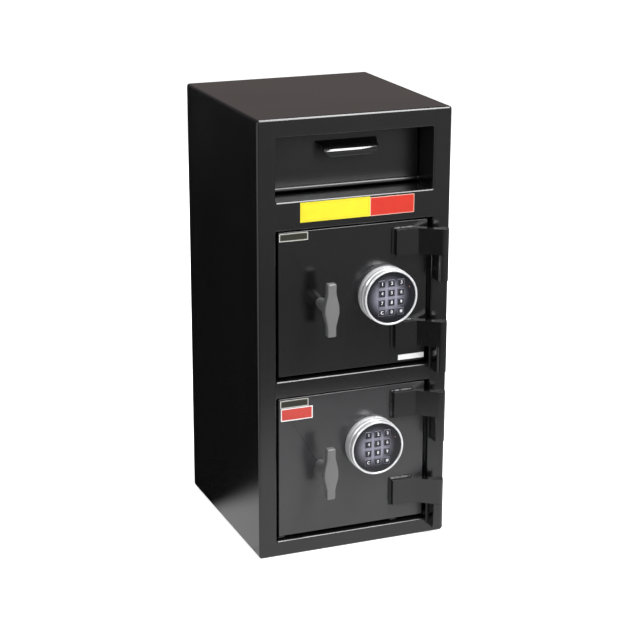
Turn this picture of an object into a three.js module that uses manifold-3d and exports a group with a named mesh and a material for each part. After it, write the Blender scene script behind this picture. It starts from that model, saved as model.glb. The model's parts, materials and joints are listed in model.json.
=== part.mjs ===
// A front-loading drop safe: a tilt-out deposit drawer over two plate doors.
// Lengths are millimetres and +Z is up. The origin is the centre of the base,
// the front faces -Y and the door hinges are on the +X side.
import * as THREE from 'three';
import { mergeVertices } from 'three/addons/utils/BufferGeometryUtils.js';
import Module from 'manifold-3d';

const wasm = await Module();
wasm.setup();

// Driving sizes of the cabinet
const cabinetWidth = 368;
const cabinetDepth = 381;
const cabinetHeight = 813;
const bodySheet = 3.4;
const bodyCornerRadius = 5;
const frameEdgeRadius = 3.2;
const frameLip = 16;
const windowCornerRadius = 2.4;
const sideFlange = 34;
const baseRail = 30;
const middleRail = 32;
const labelRail = 52;
const topRail = 34;
const depositHeight = 113;
const weldGap = 0.3;
const overrun = 5;
const anchorHoleRadius = 7;
const anchorInset = 70;

// Driving sizes of the doors and their hinges
const doorPlate = 12.7;
const doorRecess = 7;
const doorSideGap = 6;
const doorTopGap = 3.5;
const doorBottomGap = 6;
const doorCornerRadius = 2;
const doorEdgeRadius = 1.2;
const hingeInset = 23;
const hingeStandoff = 24;
const knuckleRadius = 10;
const knuckleDrop = 10.1;
const hingePinRadius = 5;
const hingePinCap = 10;
const hingePinPlay = 0.15;
const hingeFaceGap = 0.5;
const armStackShare = 0.4974;
const armPlate = 12.7;
const armRootShare = 0.52;
const armBendShare = 0.80333;
const armKeypadGap = 3.1;
const topArmInset = 16;
const deadBarWidth = 46;
const deadBarThickness = 6;
const deadBarEndGap = 38;
const deadBarCover = 7.5;

// Driving sizes of the bolt work
const boltRadius = 9.5;
const boltPlay = 0.4;
const boltThrow = 22;
const boltEndInset = 30;
const boltTipInset = 5;
const channelSheet = 3;
const channelWeb = 2.5;
const channelInside = 35;
const channelEndGap = 40;
const carriageBar = 6;
const carriageEndGap = 6;
const carriagePlate = 4;
const carriageFloat = 1.2;
const carriagePlateHeight = 32;
const slotPlay = 0.9;
const handleTurn = THREE.MathUtils.degToRad(60);
const lockCaseWidth = 62;
const lockCaseHeight = 90;
const lockCaseDepth = 32;
const lockCaseEdge = 2.5;
const lockBoltWidth = 18;
const lockBoltDepth = 12;
const lockBoltReach = 3;
const lockBoltGap = 2;

// Driving sizes of the T handles
const boltTailGap = 2.8;
const handleLength = 97;
const handleEndWidth = 16;
const handleMiddleWidth = 27;
const handleThickness = 15;
const handleStandoff = 58;
const handleNeckRadius = 9.5;
const handleNeckFlare = 16;
const handleNeckInset = 1;
const handleFootGap = 0.4;
const spindleRadius = 8;
const spindlePlay = 0.3;
const crankHubRadius = 10;
const crankTipRadius = 6;
const crankPlate = 5;
const crankFloat = 15;
const crankPinRadius = 3;
const crankPinTail = 2;

// Driving sizes of the keypads
const keypadFaceRadius = 47;
const keypadBore = 47.4;
const keypadRingRadius = 52;
const keypadBezelRadius = 51.1;
const keypadHeight = 33;
const keypadFaceSink = 1.2;
const keypadRibBand = 8;
const keypadRibDepth = 1;
const keypadRibs = 40;
const keypadGroove = 1.2;
const keypadFootGap = 0.5;
const keySize = 13;
const keyPitchX = 18.5;
const keyPitchZ = 17.8;
const keyThickness = 3.2;
const keyRise = 1.1;
const keyPlay = 0.3;
const keyTravel = 0.8;
const keyFloor = 0.5;
const keyCorner = 1.6;
const keyEdge = 0.5;
const keyColumns = 3;
const keyRows = 4;
const upperKeypadAcrossShare = 0.4;
const lowerKeypadAcrossShare = 0.24667;
const upperKeypadUpShare = 0.01449;
const lowerKeypadUpShare = 0.10145;

// Driving sizes of the deposit drawer and its chamber
const recessDepth = 64;
const drawerGap = 2.5;
const drawerFloorGap = 2;
const drawerSheet = 3;
const drawerRollRadius = 5;
const drawerRodRadius = 3;
const drawerRodPlay = 0.15;
const drawerRodTail = 2;
const trayReach = 95;
const traySheet = 2.5;
const trayFall = THREE.MathUtils.degToRad(32);
const trayFlangeHeight = 20;
const drawerTilt = THREE.MathUtils.degToRad(50);
const baffleClearance = 3;
const baffleLap = THREE.MathUtils.degToRad(5);
const baffleShoulder = THREE.MathUtils.degToRad(72);
const chamberDrop = 30;
const pullOffset = 7;
const pullRootWidth = 118;
const pullLipWidth = 105;
const pullReach = 28;
const pullBelowTop = 23.4;
const pullHeight = 24.6;
const pullSheet = 2.2;
const pullBend = 8;
const pullSlope = THREE.MathUtils.degToRad(17);
const pullCorner = 15;
const deckFallReach = 88;
const fishThroat = 80;
const fishLift = 16;
const fishPlateHeight = 90;
const fishToothPitch = 20;
const fishToothHeight = 10;

// Places that follow from the sizes above
const faceY = -cabinetDepth / 2;
const backY = cabinetDepth / 2;
const innerHalf = cabinetWidth / 2 - bodySheet;
const windowHalf = cabinetWidth / 2 - sideFlange;
const railsHeight = baseRail + middleRail + labelRail + topRail;
const doorWindowHeight = (cabinetHeight - railsHeight - depositHeight) / 2;
const channelHeight = doorWindowHeight - 2 * channelEndGap;
const carriageBarHeight = channelHeight - 2 * carriageEndGap;
const boltSpacing = channelHeight / 2 - boltEndInset;
const deadBarHeight = doorWindowHeight - 2 * deadBarEndGap;
const keypadPlaces = {
  upper: {
    x: upperKeypadAcrossShare * windowHalf,
    aboveMiddle: upperKeypadUpShare * doorWindowHeight,
  },
  lower: {
    x: lowerKeypadAcrossShare * windowHalf,
    aboveMiddle: lowerKeypadUpShare * doorWindowHeight,
  },
};
const lowerWindow = { bottom: baseRail, top: baseRail + doorWindowHeight };
const upperBottom = lowerWindow.top + middleRail;
const upperWindow = { bottom: upperBottom, top: upperBottom + doorWindowHeight };
const depositWindow = { bottom: upperWindow.top + labelRail, top: cabinetHeight - topRail };
const frameBack = faceY + bodySheet;
const doorFront = faceY + doorRecess;
const doorBack = doorFront + doorPlate;
const doorHalf = windowHalf - doorSideGap;
const hingeX = cabinetWidth / 2 - hingeInset;
const hingeY = faceY - hingeStandoff;
const armLeft = armRootShare * windowHalf;
const armBend = armBendShare * windowHalf;
const underKeypad = keypadPlaces.upper.aboveMiddle - keypadRingRadius - armKeypadGap;
const hingeStack = doorWindowHeight / 2 + knuckleDrop + underKeypad - hingeFaceGap;
const armHeight = armStackShare * hingeStack;
const knuckleHeight = hingeStack - armHeight;
const hingePinReach = armHeight - hingePinCap;
const channelLeft = -doorHalf + boltTipInset;
const channelRight = channelLeft + 2 * channelSheet + channelInside;
const boltTail = channelRight + boltThrow + carriageFloat;
const handleX = boltTail + boltTailGap + spindleRadius;
const drawerFront = faceY + recessDepth;
const drawerAxisY = drawerFront + drawerSheet / 2;
const drawerAxisZ = depositWindow.bottom + drawerFloorGap + drawerRollRadius;
const linerBack = drawerAxisY - drawerRollRadius - drawerGap;
const baffleInner = trayReach + baffleClearance;
const chamberBack = drawerAxisY + baffleInner + bodySheet;

// How finely arcs are cut
const cornerSteps = 2;
const pinSides = 24;
const ringSides = 40;
const smallSides = 16;
const bevelSteps = 2;
const mergeTolerance = 1e-4;

// Materials
function paint(color, roughness, metalness) {
  return new THREE.MeshStandardMaterial({ color, roughness, metalness });
}

const looks = {
  coat: () => paint(0x2b2b2d, 0.42, 0.1),
  gloss: () => paint(0x141416, 0.15, 0.3),
  zinc: () => paint(0xa9abb0, 0.35, 0.9),
  chrome: () => paint(0xd8dade, 0.12, 1),
  satin: () => paint(0x8b8c8e, 0.45, 0.7),
  face: () => paint(0x17171c, 0.25, 0),
  keys: () => paint(0x26262e, 0.5, 0),
};

// Solids and geometries
function toSolid(geometry) {
  const bare = geometry.clone();
  bare.deleteAttribute('normal');
  bare.deleteAttribute('uv');
  const merged = mergeVertices(bare, mergeTolerance);
  return new wasm.Manifold(new wasm.Mesh({
    numProp: 3,
    vertProperties: new Float32Array(merged.attributes.position.array),
    triVerts: new Uint32Array(merged.index.array),
  }));
}

function toGeometry(solid) {
  const mesh = solid.getMesh();
  const geometry = new THREE.BufferGeometry();
  geometry.setAttribute('position', new THREE.BufferAttribute(mesh.vertProperties, 3));
  geometry.setIndex(new THREE.BufferAttribute(mesh.triVerts, 1));
  return geometry;
}

function join(first, ...others) {
  let solid = toSolid(first);
  for (const other of others) solid = solid.add(toSolid(other));
  return toGeometry(solid);
}

function cut(first, ...tools) {
  let solid = toSolid(first);
  for (const tool of tools) solid = solid.subtract(toSolid(tool));
  return toGeometry(solid);
}

function common(first, second) {
  return toGeometry(toSolid(first).intersect(toSolid(second)));
}

// A box between two opposite corners
function boxBetween([x0, y0, z0], [x1, y1, z1]) {
  const box = new THREE.BoxGeometry(x1 - x0, y1 - y0, z1 - z0);
  return box.translate((x0 + x1) / 2, (y0 + y1) / 2, (z0 + z1) / 2);
}

// A rectangle with round corners, drawn into a Shape or a Path
function roundRectangle(path, x0, y0, x1, y1, radius) {
  path.moveTo(x0 + radius, y0);
  path.lineTo(x1 - radius, y0);
  path.absarc(x1 - radius, y0 + radius, radius, -Math.PI / 2, 0);
  path.lineTo(x1, y1 - radius);
  path.absarc(x1 - radius, y1 - radius, radius, 0, Math.PI / 2);
  path.lineTo(x0 + radius, y1);
  path.absarc(x0 + radius, y1 - radius, radius, Math.PI / 2, Math.PI);
  path.lineTo(x0, y0 + radius);
  path.absarc(x0 + radius, y0 + radius, radius, Math.PI, Math.PI * 1.5);
  return path;
}

function circle(path, x, y, radius) {
  path.absarc(x, y, radius, 0, Math.PI * 2);
  return path;
}

// An outline pulled along an axis, its edges rounded by edge if one is given
function pull(outline, length, edge, curveSegments, bevelSegments = bevelSteps) {
  return new THREE.ExtrudeGeometry(outline, {
    depth: length - 2 * edge,
    bevelEnabled: edge > 0,
    bevelThickness: edge,
    bevelSize: edge,
    bevelOffset: -edge,
    bevelSegments,
    curveSegments,
  });
}

// An outline in X and Z, pulled from one Y to another
function alongY(outline, front, back, edge = 0, steps = cornerSteps, bevels = bevelSteps) {
  const geometry = pull(outline, back - front, edge, steps, bevels);
  geometry.rotateX(Math.PI / 2);
  return geometry.translate(0, back - edge, 0);
}

// An outline in X and Y, pulled from one Z to another
function alongZ(outline, bottom, top, edge = 0, steps = cornerSteps) {
  return pull(outline, top - bottom, edge, steps).translate(0, 0, bottom + edge);
}

// An outline in Y and Z, pulled from one X to another
function alongX(outline, left, right, steps = cornerSteps) {
  const geometry = pull(outline, right - left, 0, steps);
  const turn = new THREE.Matrix4().makeBasis(
    new THREE.Vector3(0, 1, 0),
    new THREE.Vector3(0, 0, 1),
    new THREE.Vector3(1, 0, 0),
  );
  return geometry.applyMatrix4(turn).translate(left, 0, 0);
}

// Round bars along X, Y and Z
function barX(y, z, radius, left, right, sides = pinSides) {
  const bar = new THREE.CylinderGeometry(radius, radius, right - left, sides);
  bar.rotateZ(-Math.PI / 2);
  return bar.translate((left + right) / 2, y, z);
}

function barY(x, z, radius, front, back, sides = pinSides) {
  const bar = new THREE.CylinderGeometry(radius, radius, back - front, sides);
  return bar.translate(x, (front + back) / 2, z);
}

function barZ(x, y, radius, bottom, top, sides = pinSides) {
  const bar = new THREE.CylinderGeometry(radius, radius, top - bottom, sides);
  bar.rotateX(Math.PI / 2);
  return bar.translate(x, y, (bottom + top) / 2);
}

// A closed skin over a stack of rings that all have the same number of points
function skin(rings) {
  const count = rings[0].length;
  const positions = rings.flat().flatMap((point) => point.toArray());
  const index = [];
  for (let ring = 0; ring + 1 < rings.length; ring++) {
    for (let k = 0; k < count; k++) {
      const next = (k + 1) % count;
      const a = ring * count + k;
      const b = ring * count + next;
      index.push(a, b, a + count, b, b + count, a + count);
    }
  }
  const last = (rings.length - 1) * count;
  for (let k = 1; k + 1 < count; k++) {
    index.push(0, k + 1, k);
    index.push(last, last + k, last + k + 1);
  }
  const geometry = new THREE.BufferGeometry();
  geometry.setAttribute('position', new THREE.Float32BufferAttribute(positions, 3));
  geometry.setIndex(index);
  return geometry;
}

const group = new THREE.Group();

function addPiece(name, geometry, material) {
  const mesh = new THREE.Mesh(geometry, material);
  mesh.name = name;
  group.add(mesh);
}

// The cabinet
function windowOutline(path, { bottom, top }, grow = 0) {
  return roundRectangle(
    path,
    -windowHalf - grow,
    bottom - grow,
    windowHalf + grow,
    top + grow,
    windowCornerRadius + grow,
  );
}

function cabinetOutline(path, inset, radius) {
  const half = cabinetWidth / 2 - inset;
  return roundRectangle(path, -half, inset, half, cabinetHeight - inset, radius);
}

// A face sheet with three windows, whose edges roll in to a lip round each door
function frontFrame() {
  const outline = cabinetOutline(new THREE.Shape(), 0, bodyCornerRadius);
  for (const window of [lowerWindow, upperWindow, depositWindow]) {
    outline.holes.push(windowOutline(new THREE.Path(), window));
  }
  const lipBack = faceY + frameLip;
  const block = alongY(outline, faceY, lipBack + frameEdgeRadius, frameEdgeRadius);
  const wide = cabinetWidth / 2 + overrun;
  let kept = boxBetween(
    [-wide, faceY - overrun, -overrun],
    [wide, frameBack, cabinetHeight + overrun],
  );
  for (const window of [lowerWindow, upperWindow]) {
    const lip = windowOutline(new THREE.Shape(), window, bodySheet);
    kept = join(kept, alongY(lip, faceY, lipBack));
  }
  return common(block, kept);
}

function bodyWrap() {
  const outline = cabinetOutline(new THREE.Shape(), 0, bodyCornerRadius);
  const inside = cabinetOutline(new THREE.Path(), bodySheet, bodyCornerRadius - bodySheet);
  outline.holes.push(inside);
  let wrap = alongY(outline, frameBack, backY);
  const xs = cabinetWidth / 2 - anchorInset;
  const ys = cabinetDepth / 2 - anchorInset;
  for (const x of [-xs, xs]) {
    for (const y of [-ys, ys]) {
      const hole = barZ(x, y, anchorHoleRadius, -overrun, bodySheet + overrun, smallSides);
      wrap = cut(wrap, hole);
    }
  }
  return wrap;
}

function backPanel() {
  const inset = bodySheet + weldGap;
  const outline = cabinetOutline(new THREE.Shape(), inset, bodyCornerRadius - bodySheet);
  return alongY(outline, backY - bodySheet, backY);
}

function compartmentShelf() {
  const half = innerHalf - weldGap;
  const middle = (lowerWindow.top + upperWindow.bottom) / 2;
  return boxBetween(
    [-half, faceY + frameLip, middle - bodySheet / 2],
    [half, backY - bodySheet - weldGap, middle + bodySheet / 2],
  );
}

// The box behind the deposit window, whose side walls run on as the chamber's ears
function recessLiner() {
  const outline = windowOutline(new THREE.Shape(), depositWindow, bodySheet);
  outline.holes.push(windowOutline(new THREE.Path(), depositWindow));
  let liner = alongY(outline, frameBack, linerBack);
  for (const side of [-1, 1]) {
    const inner = side * windowHalf;
    const outer = side * (windowHalf + bodySheet);
    const ear = boxBetween(
      [Math.min(inner, outer), linerBack - bodySheet, depositWindow.bottom - chamberDrop],
      [Math.max(inner, outer), chamberBack, depositWindow.top + bodySheet],
    );
    liner = join(liner, ear);
  }
  const bore = drawerRodRadius + drawerRodPlay;
  const reach = windowHalf + bodySheet + overrun;
  return cut(liner, barX(drawerAxisY, drawerAxisZ, bore, -reach, reach));
}

// The plate under the drawer, level at the front and then falling to the rear
function depositDeck() {
  const half = innerHalf - weldGap;
  const level = depositWindow.bottom - chamberDrop - weldGap;
  const start = frameBack + weldGap;
  const turn = linerBack;
  const fallY = Math.cos(trayFall);
  const fallZ = -Math.sin(trayFall);
  const lean = bodySheet * Math.tan(trayFall / 2);
  const outline = new THREE.Shape();
  outline.moveTo(start, level - bodySheet);
  outline.lineTo(turn - lean, level - bodySheet);
  const endY = turn + deckFallReach * fallY;
  const endZ = level + deckFallReach * fallZ;
  outline.lineTo(endY + bodySheet * fallZ, endZ - bodySheet * fallY);
  outline.lineTo(endY, endZ);
  outline.lineTo(turn, level);
  outline.lineTo(start, level);
  return alongX(outline, -half, half);
}

// The curved shield that the tray's rear edge runs up to when the drawer is open
function drawerBaffle() {
  const outer = baffleInner + bodySheet;
  const low = drawerTilt - trayFall - baffleLap;
  const shoulderY = baffleInner * Math.cos(baffleShoulder);
  const roof = depositWindow.top - drawerAxisZ;
  const outline = new THREE.Shape();
  outline.absarc(0, 0, outer, low, baffleShoulder, false);
  outline.lineTo(shoulderY + bodySheet, roof + bodySheet);
  outline.lineTo(linerBack - drawerAxisY + weldGap, roof + bodySheet);
  outline.lineTo(linerBack - drawerAxisY + weldGap, roof);
  outline.lineTo(shoulderY, roof);
  outline.absarc(0, 0, baffleInner, baffleShoulder, low, true);
  const half = windowHalf - weldGap;
  const baffle = alongX(outline, -half, half, smallSides);
  return baffle.translate(0, drawerAxisY, drawerAxisZ);
}

// A plate with a saw-tooth front edge that leans down from the back wall
function fishBaffle() {
  const half = innerHalf - weldGap;
  const rear = backY - bodySheet - weldGap;
  const deckEnd = linerBack + deckFallReach * Math.cos(trayFall);
  const run = rear - (deckEnd + fishThroat);
  const slope = Math.hypot(run, fishPlateHeight);
  const teeth = Math.floor((2 * half) / fishToothPitch);
  const pitch = (2 * half) / teeth;
  const outline = new THREE.Shape();
  outline.moveTo(half, 0);
  outline.lineTo(-half, 0);
  for (let tooth = 0; tooth < teeth; tooth++) {
    const x = -half + tooth * pitch;
    outline.lineTo(x, fishToothHeight - slope);
    outline.lineTo(x + pitch / 2, -slope);
  }
  outline.lineTo(half, fishToothHeight - slope);
  const plate = alongZ(outline, 0, bodySheet);
  plate.rotateX(Math.atan2(fishPlateHeight, run));
  return plate.translate(0, rear, depositWindow.bottom - chamberDrop + fishLift);
}

// The hinge side: a D-shaped knuckle on the frame with its pin standing up
function frameKnuckle(armBottom) {
  const top = armBottom - hingeFaceGap;
  const outline = new THREE.Shape();
  outline.moveTo(hingeX + knuckleRadius, faceY - weldGap);
  outline.lineTo(hingeX - knuckleRadius, faceY - weldGap);
  outline.absarc(hingeX, hingeY, knuckleRadius, Math.PI, Math.PI * 2, false);
  const knuckle = alongZ(outline, top - knuckleHeight, top, 0, smallSides);
  const root = top - knuckleRadius;
  return join(knuckle, barZ(hingeX, hingeY, hingePinRadius, root, armBottom + hingePinReach));
}

// The door side: a plate flat on the door that kinks out to a round barrel
function hingeArm(bottom) {
  const top = bottom + armHeight;
  const back = doorFront - weldGap;
  const front = back - armPlate;
  const toAxis = new THREE.Vector2(hingeX - armBend, hingeY - front);
  const distance = toAxis.length();
  const angle = toAxis.angle() - Math.asin(knuckleRadius / distance);
  const reach = Math.sqrt(distance ** 2 - knuckleRadius ** 2);
  const along = new THREE.Vector2(Math.cos(angle), Math.sin(angle));
  const inward = new THREE.Vector2(-along.y, along.x);
  const tangent = new THREE.Vector2(armBend, front).addScaledVector(along, reach);
  const behind = tangent.clone().addScaledVector(inward, armPlate);
  const climb = (back - behind.y) / along.y;
  const outline = new THREE.Shape();
  outline.moveTo(armLeft, back);
  outline.lineTo(armLeft, front);
  outline.lineTo(armBend, front);
  outline.lineTo(tangent.x, tangent.y);
  outline.lineTo(behind.x, behind.y);
  outline.lineTo(behind.x + climb * along.x, back);
  const strap = alongZ(outline, bottom, top);
  const arm = join(strap, barZ(hingeX, hingeY, knuckleRadius, bottom, top));
  const bore = hingePinRadius + hingePinPlay;
  const boreTop = bottom + hingePinReach + hingeFaceGap;
  return cut(arm, barZ(hingeX, hingeY, bore, bottom - overrun, boreTop));
}

// One door and what it carries
function makeDoor(name, window) {
  const low = window.bottom + doorBottomGap;
  const high = window.top - doorTopGap;
  const middle = (window.bottom + window.top) / 2;
  const keypadX = keypadPlaces[name].x;
  const keypadZ = middle + keypadPlaces[name].aboveMiddle;

  const plate = new THREE.Shape();
  roundRectangle(plate, -doorHalf, low, doorHalf, high, doorCornerRadius);
  const slab = alongY(plate, doorFront, doorBack, doorEdgeRadius);
  const bore = spindleRadius + spindlePlay;
  const hole = barY(handleX, middle, bore, doorFront - overrun, doorBack + overrun);
  addPiece(`${name}_door_plate`, cut(slab, hole), looks.coat());

  const armBottoms = {
    bottom: window.bottom - knuckleDrop + knuckleHeight + hingeFaceGap,
    top: window.top - topArmInset - armHeight,
  };
  for (const [place, armBottom] of Object.entries(armBottoms)) {
    addPiece(`${name}_${place}_hinge_arm`, hingeArm(armBottom), looks.coat());
    addPiece(`${name}_${place}_frame_knuckle`, frameKnuckle(armBottom), looks.coat());
  }

  const deadRight = windowHalf + deadBarCover;
  const deadFront = doorBack + weldGap;
  addPiece(
    `${name}_dead_bar`,
    boxBetween(
      [deadRight - deadBarWidth, deadFront, middle - deadBarHeight / 2],
      [deadRight, deadFront + deadBarThickness, middle + deadBarHeight / 2],
    ),
    looks.zinc(),
  );

  const boltWork = makeBoltWork(middle, keypadX);
  addPiece(`${name}_bolt_channel`, boltWork.channel, looks.zinc());
  addPiece(`${name}_bolt_carriage`, boltWork.carriage, looks.zinc());
  addPiece(`${name}_t_handle`, tHandle(middle, boltWork), looks.satin());
  addPiece(`${name}_lock_case`, lockCase(keypadX, keypadZ, boltWork), looks.zinc());
  makeKeypad(name, keypadX, keypadZ);
}

// The channel that guides the bolts and the carriage that moves them together
function makeBoltWork(middle, keypadX) {
  const left = channelLeft;
  const right = channelRight;
  const boltY = doorBack + weldGap + channelWeb + carriageFloat + boltRadius;
  const flangeBack = boltY + boltRadius + carriageFloat;
  const plateFront = flangeBack + carriageFloat;
  const plateBack = plateFront + carriagePlate;

  const section = new THREE.Shape();
  section.moveTo(left, doorBack + weldGap);
  section.lineTo(right, doorBack + weldGap);
  section.lineTo(right, flangeBack);
  section.lineTo(right - channelSheet, flangeBack);
  section.lineTo(right - channelSheet, doorBack + weldGap + channelWeb);
  section.lineTo(left + channelSheet, doorBack + weldGap + channelWeb);
  section.lineTo(left + channelSheet, flangeBack);
  section.lineTo(left, flangeBack);
  let channel = alongZ(section, middle - channelHeight / 2, middle + channelHeight / 2);

  const barRight = right - channelSheet - carriageFloat;
  const crankRadius = boltThrow / (2 * Math.sin(handleTurn / 2));
  const pinRise = crankRadius * Math.cos(handleTurn / 2);
  const plateMiddle = middle + (pinRise + crankRadius) / 2;
  const lockSide = keypadX - lockCaseWidth / 2;
  const plateEnd = lockSide - lockBoltReach - lockBoltGap;
  let carriage = boxBetween(
    [barRight - carriageBar, boltY - boltRadius, middle - carriageBarHeight / 2],
    [barRight, plateBack, middle + carriageBarHeight / 2],
  );
  carriage = join(carriage, boxBetween(
    [barRight - carriageBar, plateFront, plateMiddle - carriagePlateHeight / 2],
    [plateEnd, plateBack, plateMiddle + carriagePlateHeight / 2],
  ));
  const bore = boltRadius + boltPlay;
  const hole = (z) => barX(boltY, z, bore, left - overrun, right + overrun, smallSides);
  for (const step of [-1, 0, 1]) {
    const z = middle + step * boltSpacing;
    channel = cut(channel, hole(z));
    carriage = join(carriage, barX(boltY, z, boltRadius, left, boltTail, smallSides));
  }

  const pinX = handleX + boltThrow / 2;
  const slotHalf = crankPinRadius + slotPlay;
  carriage = cut(carriage, boxBetween(
    [pinX - slotHalf, plateFront - overrun, middle + pinRise - slotHalf],
    [pinX + slotHalf, plateBack + overrun, middle + crankRadius + slotHalf],
  ));
  return { channel, carriage, pinX, pinZ: middle + pinRise, plateMiddle, plateBack };
}

// A cast T handle with its flared neck, its spindle and the crank behind the door
function tHandle(z, { pinX, pinZ, plateBack }) {
  const x = handleX;
  const barY0 = doorFront - handleStandoff + handleThickness / 2;
  const sectionPower = 5;
  const bulgeShares = { start: 0.64, end: 0.12 };
  const bulgeDepthShare = 0.12;
  const steps = 12;
  const sides = smallSides;

  function ring(width, depth, place) {
    return Array.from({ length: sides }, (_, k) => {
      const angle = (k / sides) * Math.PI * 2;
      const c = Math.cos(angle);
      const s = Math.sin(angle);
      const size = (Math.abs(c) ** sectionPower + Math.abs(s) ** sectionPower) ** (-1 / sectionPower);
      return place((c * size * width) / 2, (s * size * depth) / 2);
    });
  }

  const bar = skin(Array.from({ length: steps + 1 }, (_, k) => {
    const along = (k / steps) * 2 - 1;
    const { start, end } = bulgeShares;
    const rise = (start - Math.abs(along)) / (start - end);
    const bulge = THREE.MathUtils.clamp(rise, 0, 1);
    const width = handleEndWidth + (handleMiddleWidth - handleEndWidth) * bulge;
    const depth = handleThickness * (1 + bulgeDepthShare * (bulge - 1));
    const height = z + (along * handleLength) / 2;
    return ring(width, depth, (u, v) => new THREE.Vector3(x + u, barY0 + v, height));
  }));

  const neckSteps = 4;
  const foot = doorFront - handleFootGap;
  const neck = skin(Array.from({ length: neckSteps + 1 }, (_, k) => {
    const t = k / neckSteps;
    const y = foot + (barY0 - foot) * t;
    const wide = handleNeckRadius + (handleMiddleWidth / 2 - handleNeckInset - handleNeckRadius) * t;
    const tall = handleNeckRadius + (handleNeckFlare - handleNeckRadius) * t;
    return Array.from({ length: sides }, (_, i) => {
      const angle = (i / sides) * Math.PI * 2;
      return new THREE.Vector3(x + wide * Math.cos(angle), y, z + tall * Math.sin(angle));
    });
  }));

  const crankFront = doorBack + crankFloat;
  const spindle = barY(x, z, spindleRadius, barY0, crankFront + crankPlate);
  const arm = new THREE.Vector2(pinX - x, pinZ - z);
  const spread = Math.acos((crankHubRadius - crankTipRadius) / arm.length());
  const heading = arm.angle();
  const link = new THREE.Shape();
  link.absarc(x, z, crankHubRadius, heading + spread, heading - spread + Math.PI * 2, false);
  link.absarc(pinX, pinZ, crankTipRadius, heading - spread, heading + spread, false);
  const crank = alongY(link, crankFront, crankFront + crankPlate, 0, smallSides);
  const pin = barY(pinX, pinZ, crankPinRadius, crankFront, plateBack + crankPinTail, smallSides);
  return join(bar, neck, spindle, crank, pin);
}

// The lock's case behind the keypad, with the nose of its bolt towards the carriage
function lockCase(x, z, { plateMiddle, plateBack }) {
  const front = doorBack + weldGap;
  const outline = new THREE.Shape();
  roundRectangle(
    outline,
    x - lockCaseWidth / 2,
    z - lockCaseHeight / 2,
    x + lockCaseWidth / 2,
    z + lockCaseHeight / 2,
    2 * lockCaseEdge,
  );
  const body = alongY(outline, front, front + lockCaseDepth, lockCaseEdge);
  const noseZ = THREE.MathUtils.clamp(
    plateMiddle,
    z - lockCaseHeight / 2 + lockBoltWidth,
    z + lockCaseHeight / 2 - lockBoltWidth,
  );
  const left = x - lockCaseWidth / 2;
  const nose = boxBetween(
    [left - lockBoltReach, plateBack - lockBoltDepth, noseZ - lockBoltWidth / 2],
    [left + lockBoltReach, plateBack, noseZ + lockBoltWidth / 2],
  );
  return join(body, nose);
}

// A round keypad: a fixed face that holds twelve keys, and a ribbed ring round it
function makeKeypad(name, x, z) {
  const front = doorFront - keypadHeight;
  const foot = doorFront - keypadFootGap;
  const faceFront = front + keypadFaceSink;

  const lathe = (points) => new THREE.LatheGeometry(
    points.map(([r, y]) => new THREE.Vector2(r, y)),
    ringSides,
  );
  const groove = keypadGroove;
  const ribFront = foot - keypadRibBand;
  const bandFront = front + 3 * groove;
  const ringBody = lathe([
    [keypadBore, front + groove / 2],
    [keypadBore + groove / 2, front],
    [keypadBezelRadius - groove, front],
    [keypadBezelRadius, front + groove],
    [keypadBezelRadius, bandFront - groove],
    [keypadRingRadius, bandFront],
    [keypadRingRadius, ribFront - groove],
    [keypadRingRadius - groove, ribFront],
    [keypadRingRadius - keypadRibDepth, foot],
    [keypadBore, foot],
    [keypadBore, front + groove / 2],
  ]);
  const ribs = new THREE.Shape();
  for (let k = 0; k < keypadRibs * 2; k++) {
    const angle = (k / keypadRibs) * Math.PI;
    const radius = keypadRingRadius - (k % 2) * keypadRibDepth;
    const point = [radius * Math.cos(angle), radius * Math.sin(angle)];
    if (k === 0) ribs.moveTo(...point);
    else ribs.lineTo(...point);
  }
  ribs.holes.push(circle(new THREE.Path(), 0, 0, keypadBore + groove));
  const ribBand = alongY(ribs, ribFront + groove, foot, 0, ringSides);
  addPiece(`${name}_keypad_ring`, join(ringBody, ribBand).translate(x, 0, z), looks.chrome());

  let face = lathe([
    [0, faceFront],
    [keypadFaceRadius, faceFront],
    [keypadFaceRadius, foot],
    [0, foot],
  ]);
  const names = ['1', '2', '3', '4', '5', '6', '7', '8', '9', 'c', '0', 'hash'];
  const hole = keySize / 2 + keyPlay;
  const pocket = keyThickness - keyRise + keyTravel + keyFloor;
  const keys = names.map((label, place) => {
    const across = ((place % keyColumns) - (keyColumns - 1) / 2) * keyPitchX;
    const up = ((keyRows - 1) / 2 - Math.floor(place / keyColumns)) * keyPitchZ;
    return { label, across, up };
  });
  for (const { across, up } of keys) {
    face = cut(face, boxBetween(
      [across - hole, faceFront - overrun, up - hole],
      [across + hole, faceFront + pocket, up + hole],
    ));
  }
  addPiece(`${name}_keypad_face`, face.translate(x, 0, z), looks.face());

  for (const { label, across, up } of keys) {
    const outline = new THREE.Shape();
    const half = keySize / 2;
    roundRectangle(outline, across - half, up - half, across + half, up + half, keyCorner);
    const keyFront = faceFront - keyRise;
    const key = alongY(outline, keyFront, keyFront + keyThickness, keyEdge, 1, 1);
    addPiece(`${name}_key_${label}`, key.translate(x, 0, z), looks.keys());
  }
}

// The deposit drawer: a panel rolled round its rod, with a tray on its back
function drawerPanel() {
  const half = windowHalf - drawerGap;
  const top = depositWindow.top - drawerGap;
  const plate = boxBetween(
    [-half, drawerFront, drawerAxisZ],
    [half, drawerFront + drawerSheet, top],
  );
  const roll = barX(drawerAxisY, drawerAxisZ, drawerRollRadius, -half, half);
  const bore = drawerRodRadius + drawerRodPlay;
  return cut(join(plate, roll), barX(drawerAxisY, drawerAxisZ, bore, -half - overrun, half + overrun));
}

function drawerRod() {
  const reach = windowHalf + bodySheet + drawerRodTail;
  return barX(drawerAxisY, drawerAxisZ, drawerRodRadius, -reach, reach);
}

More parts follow.
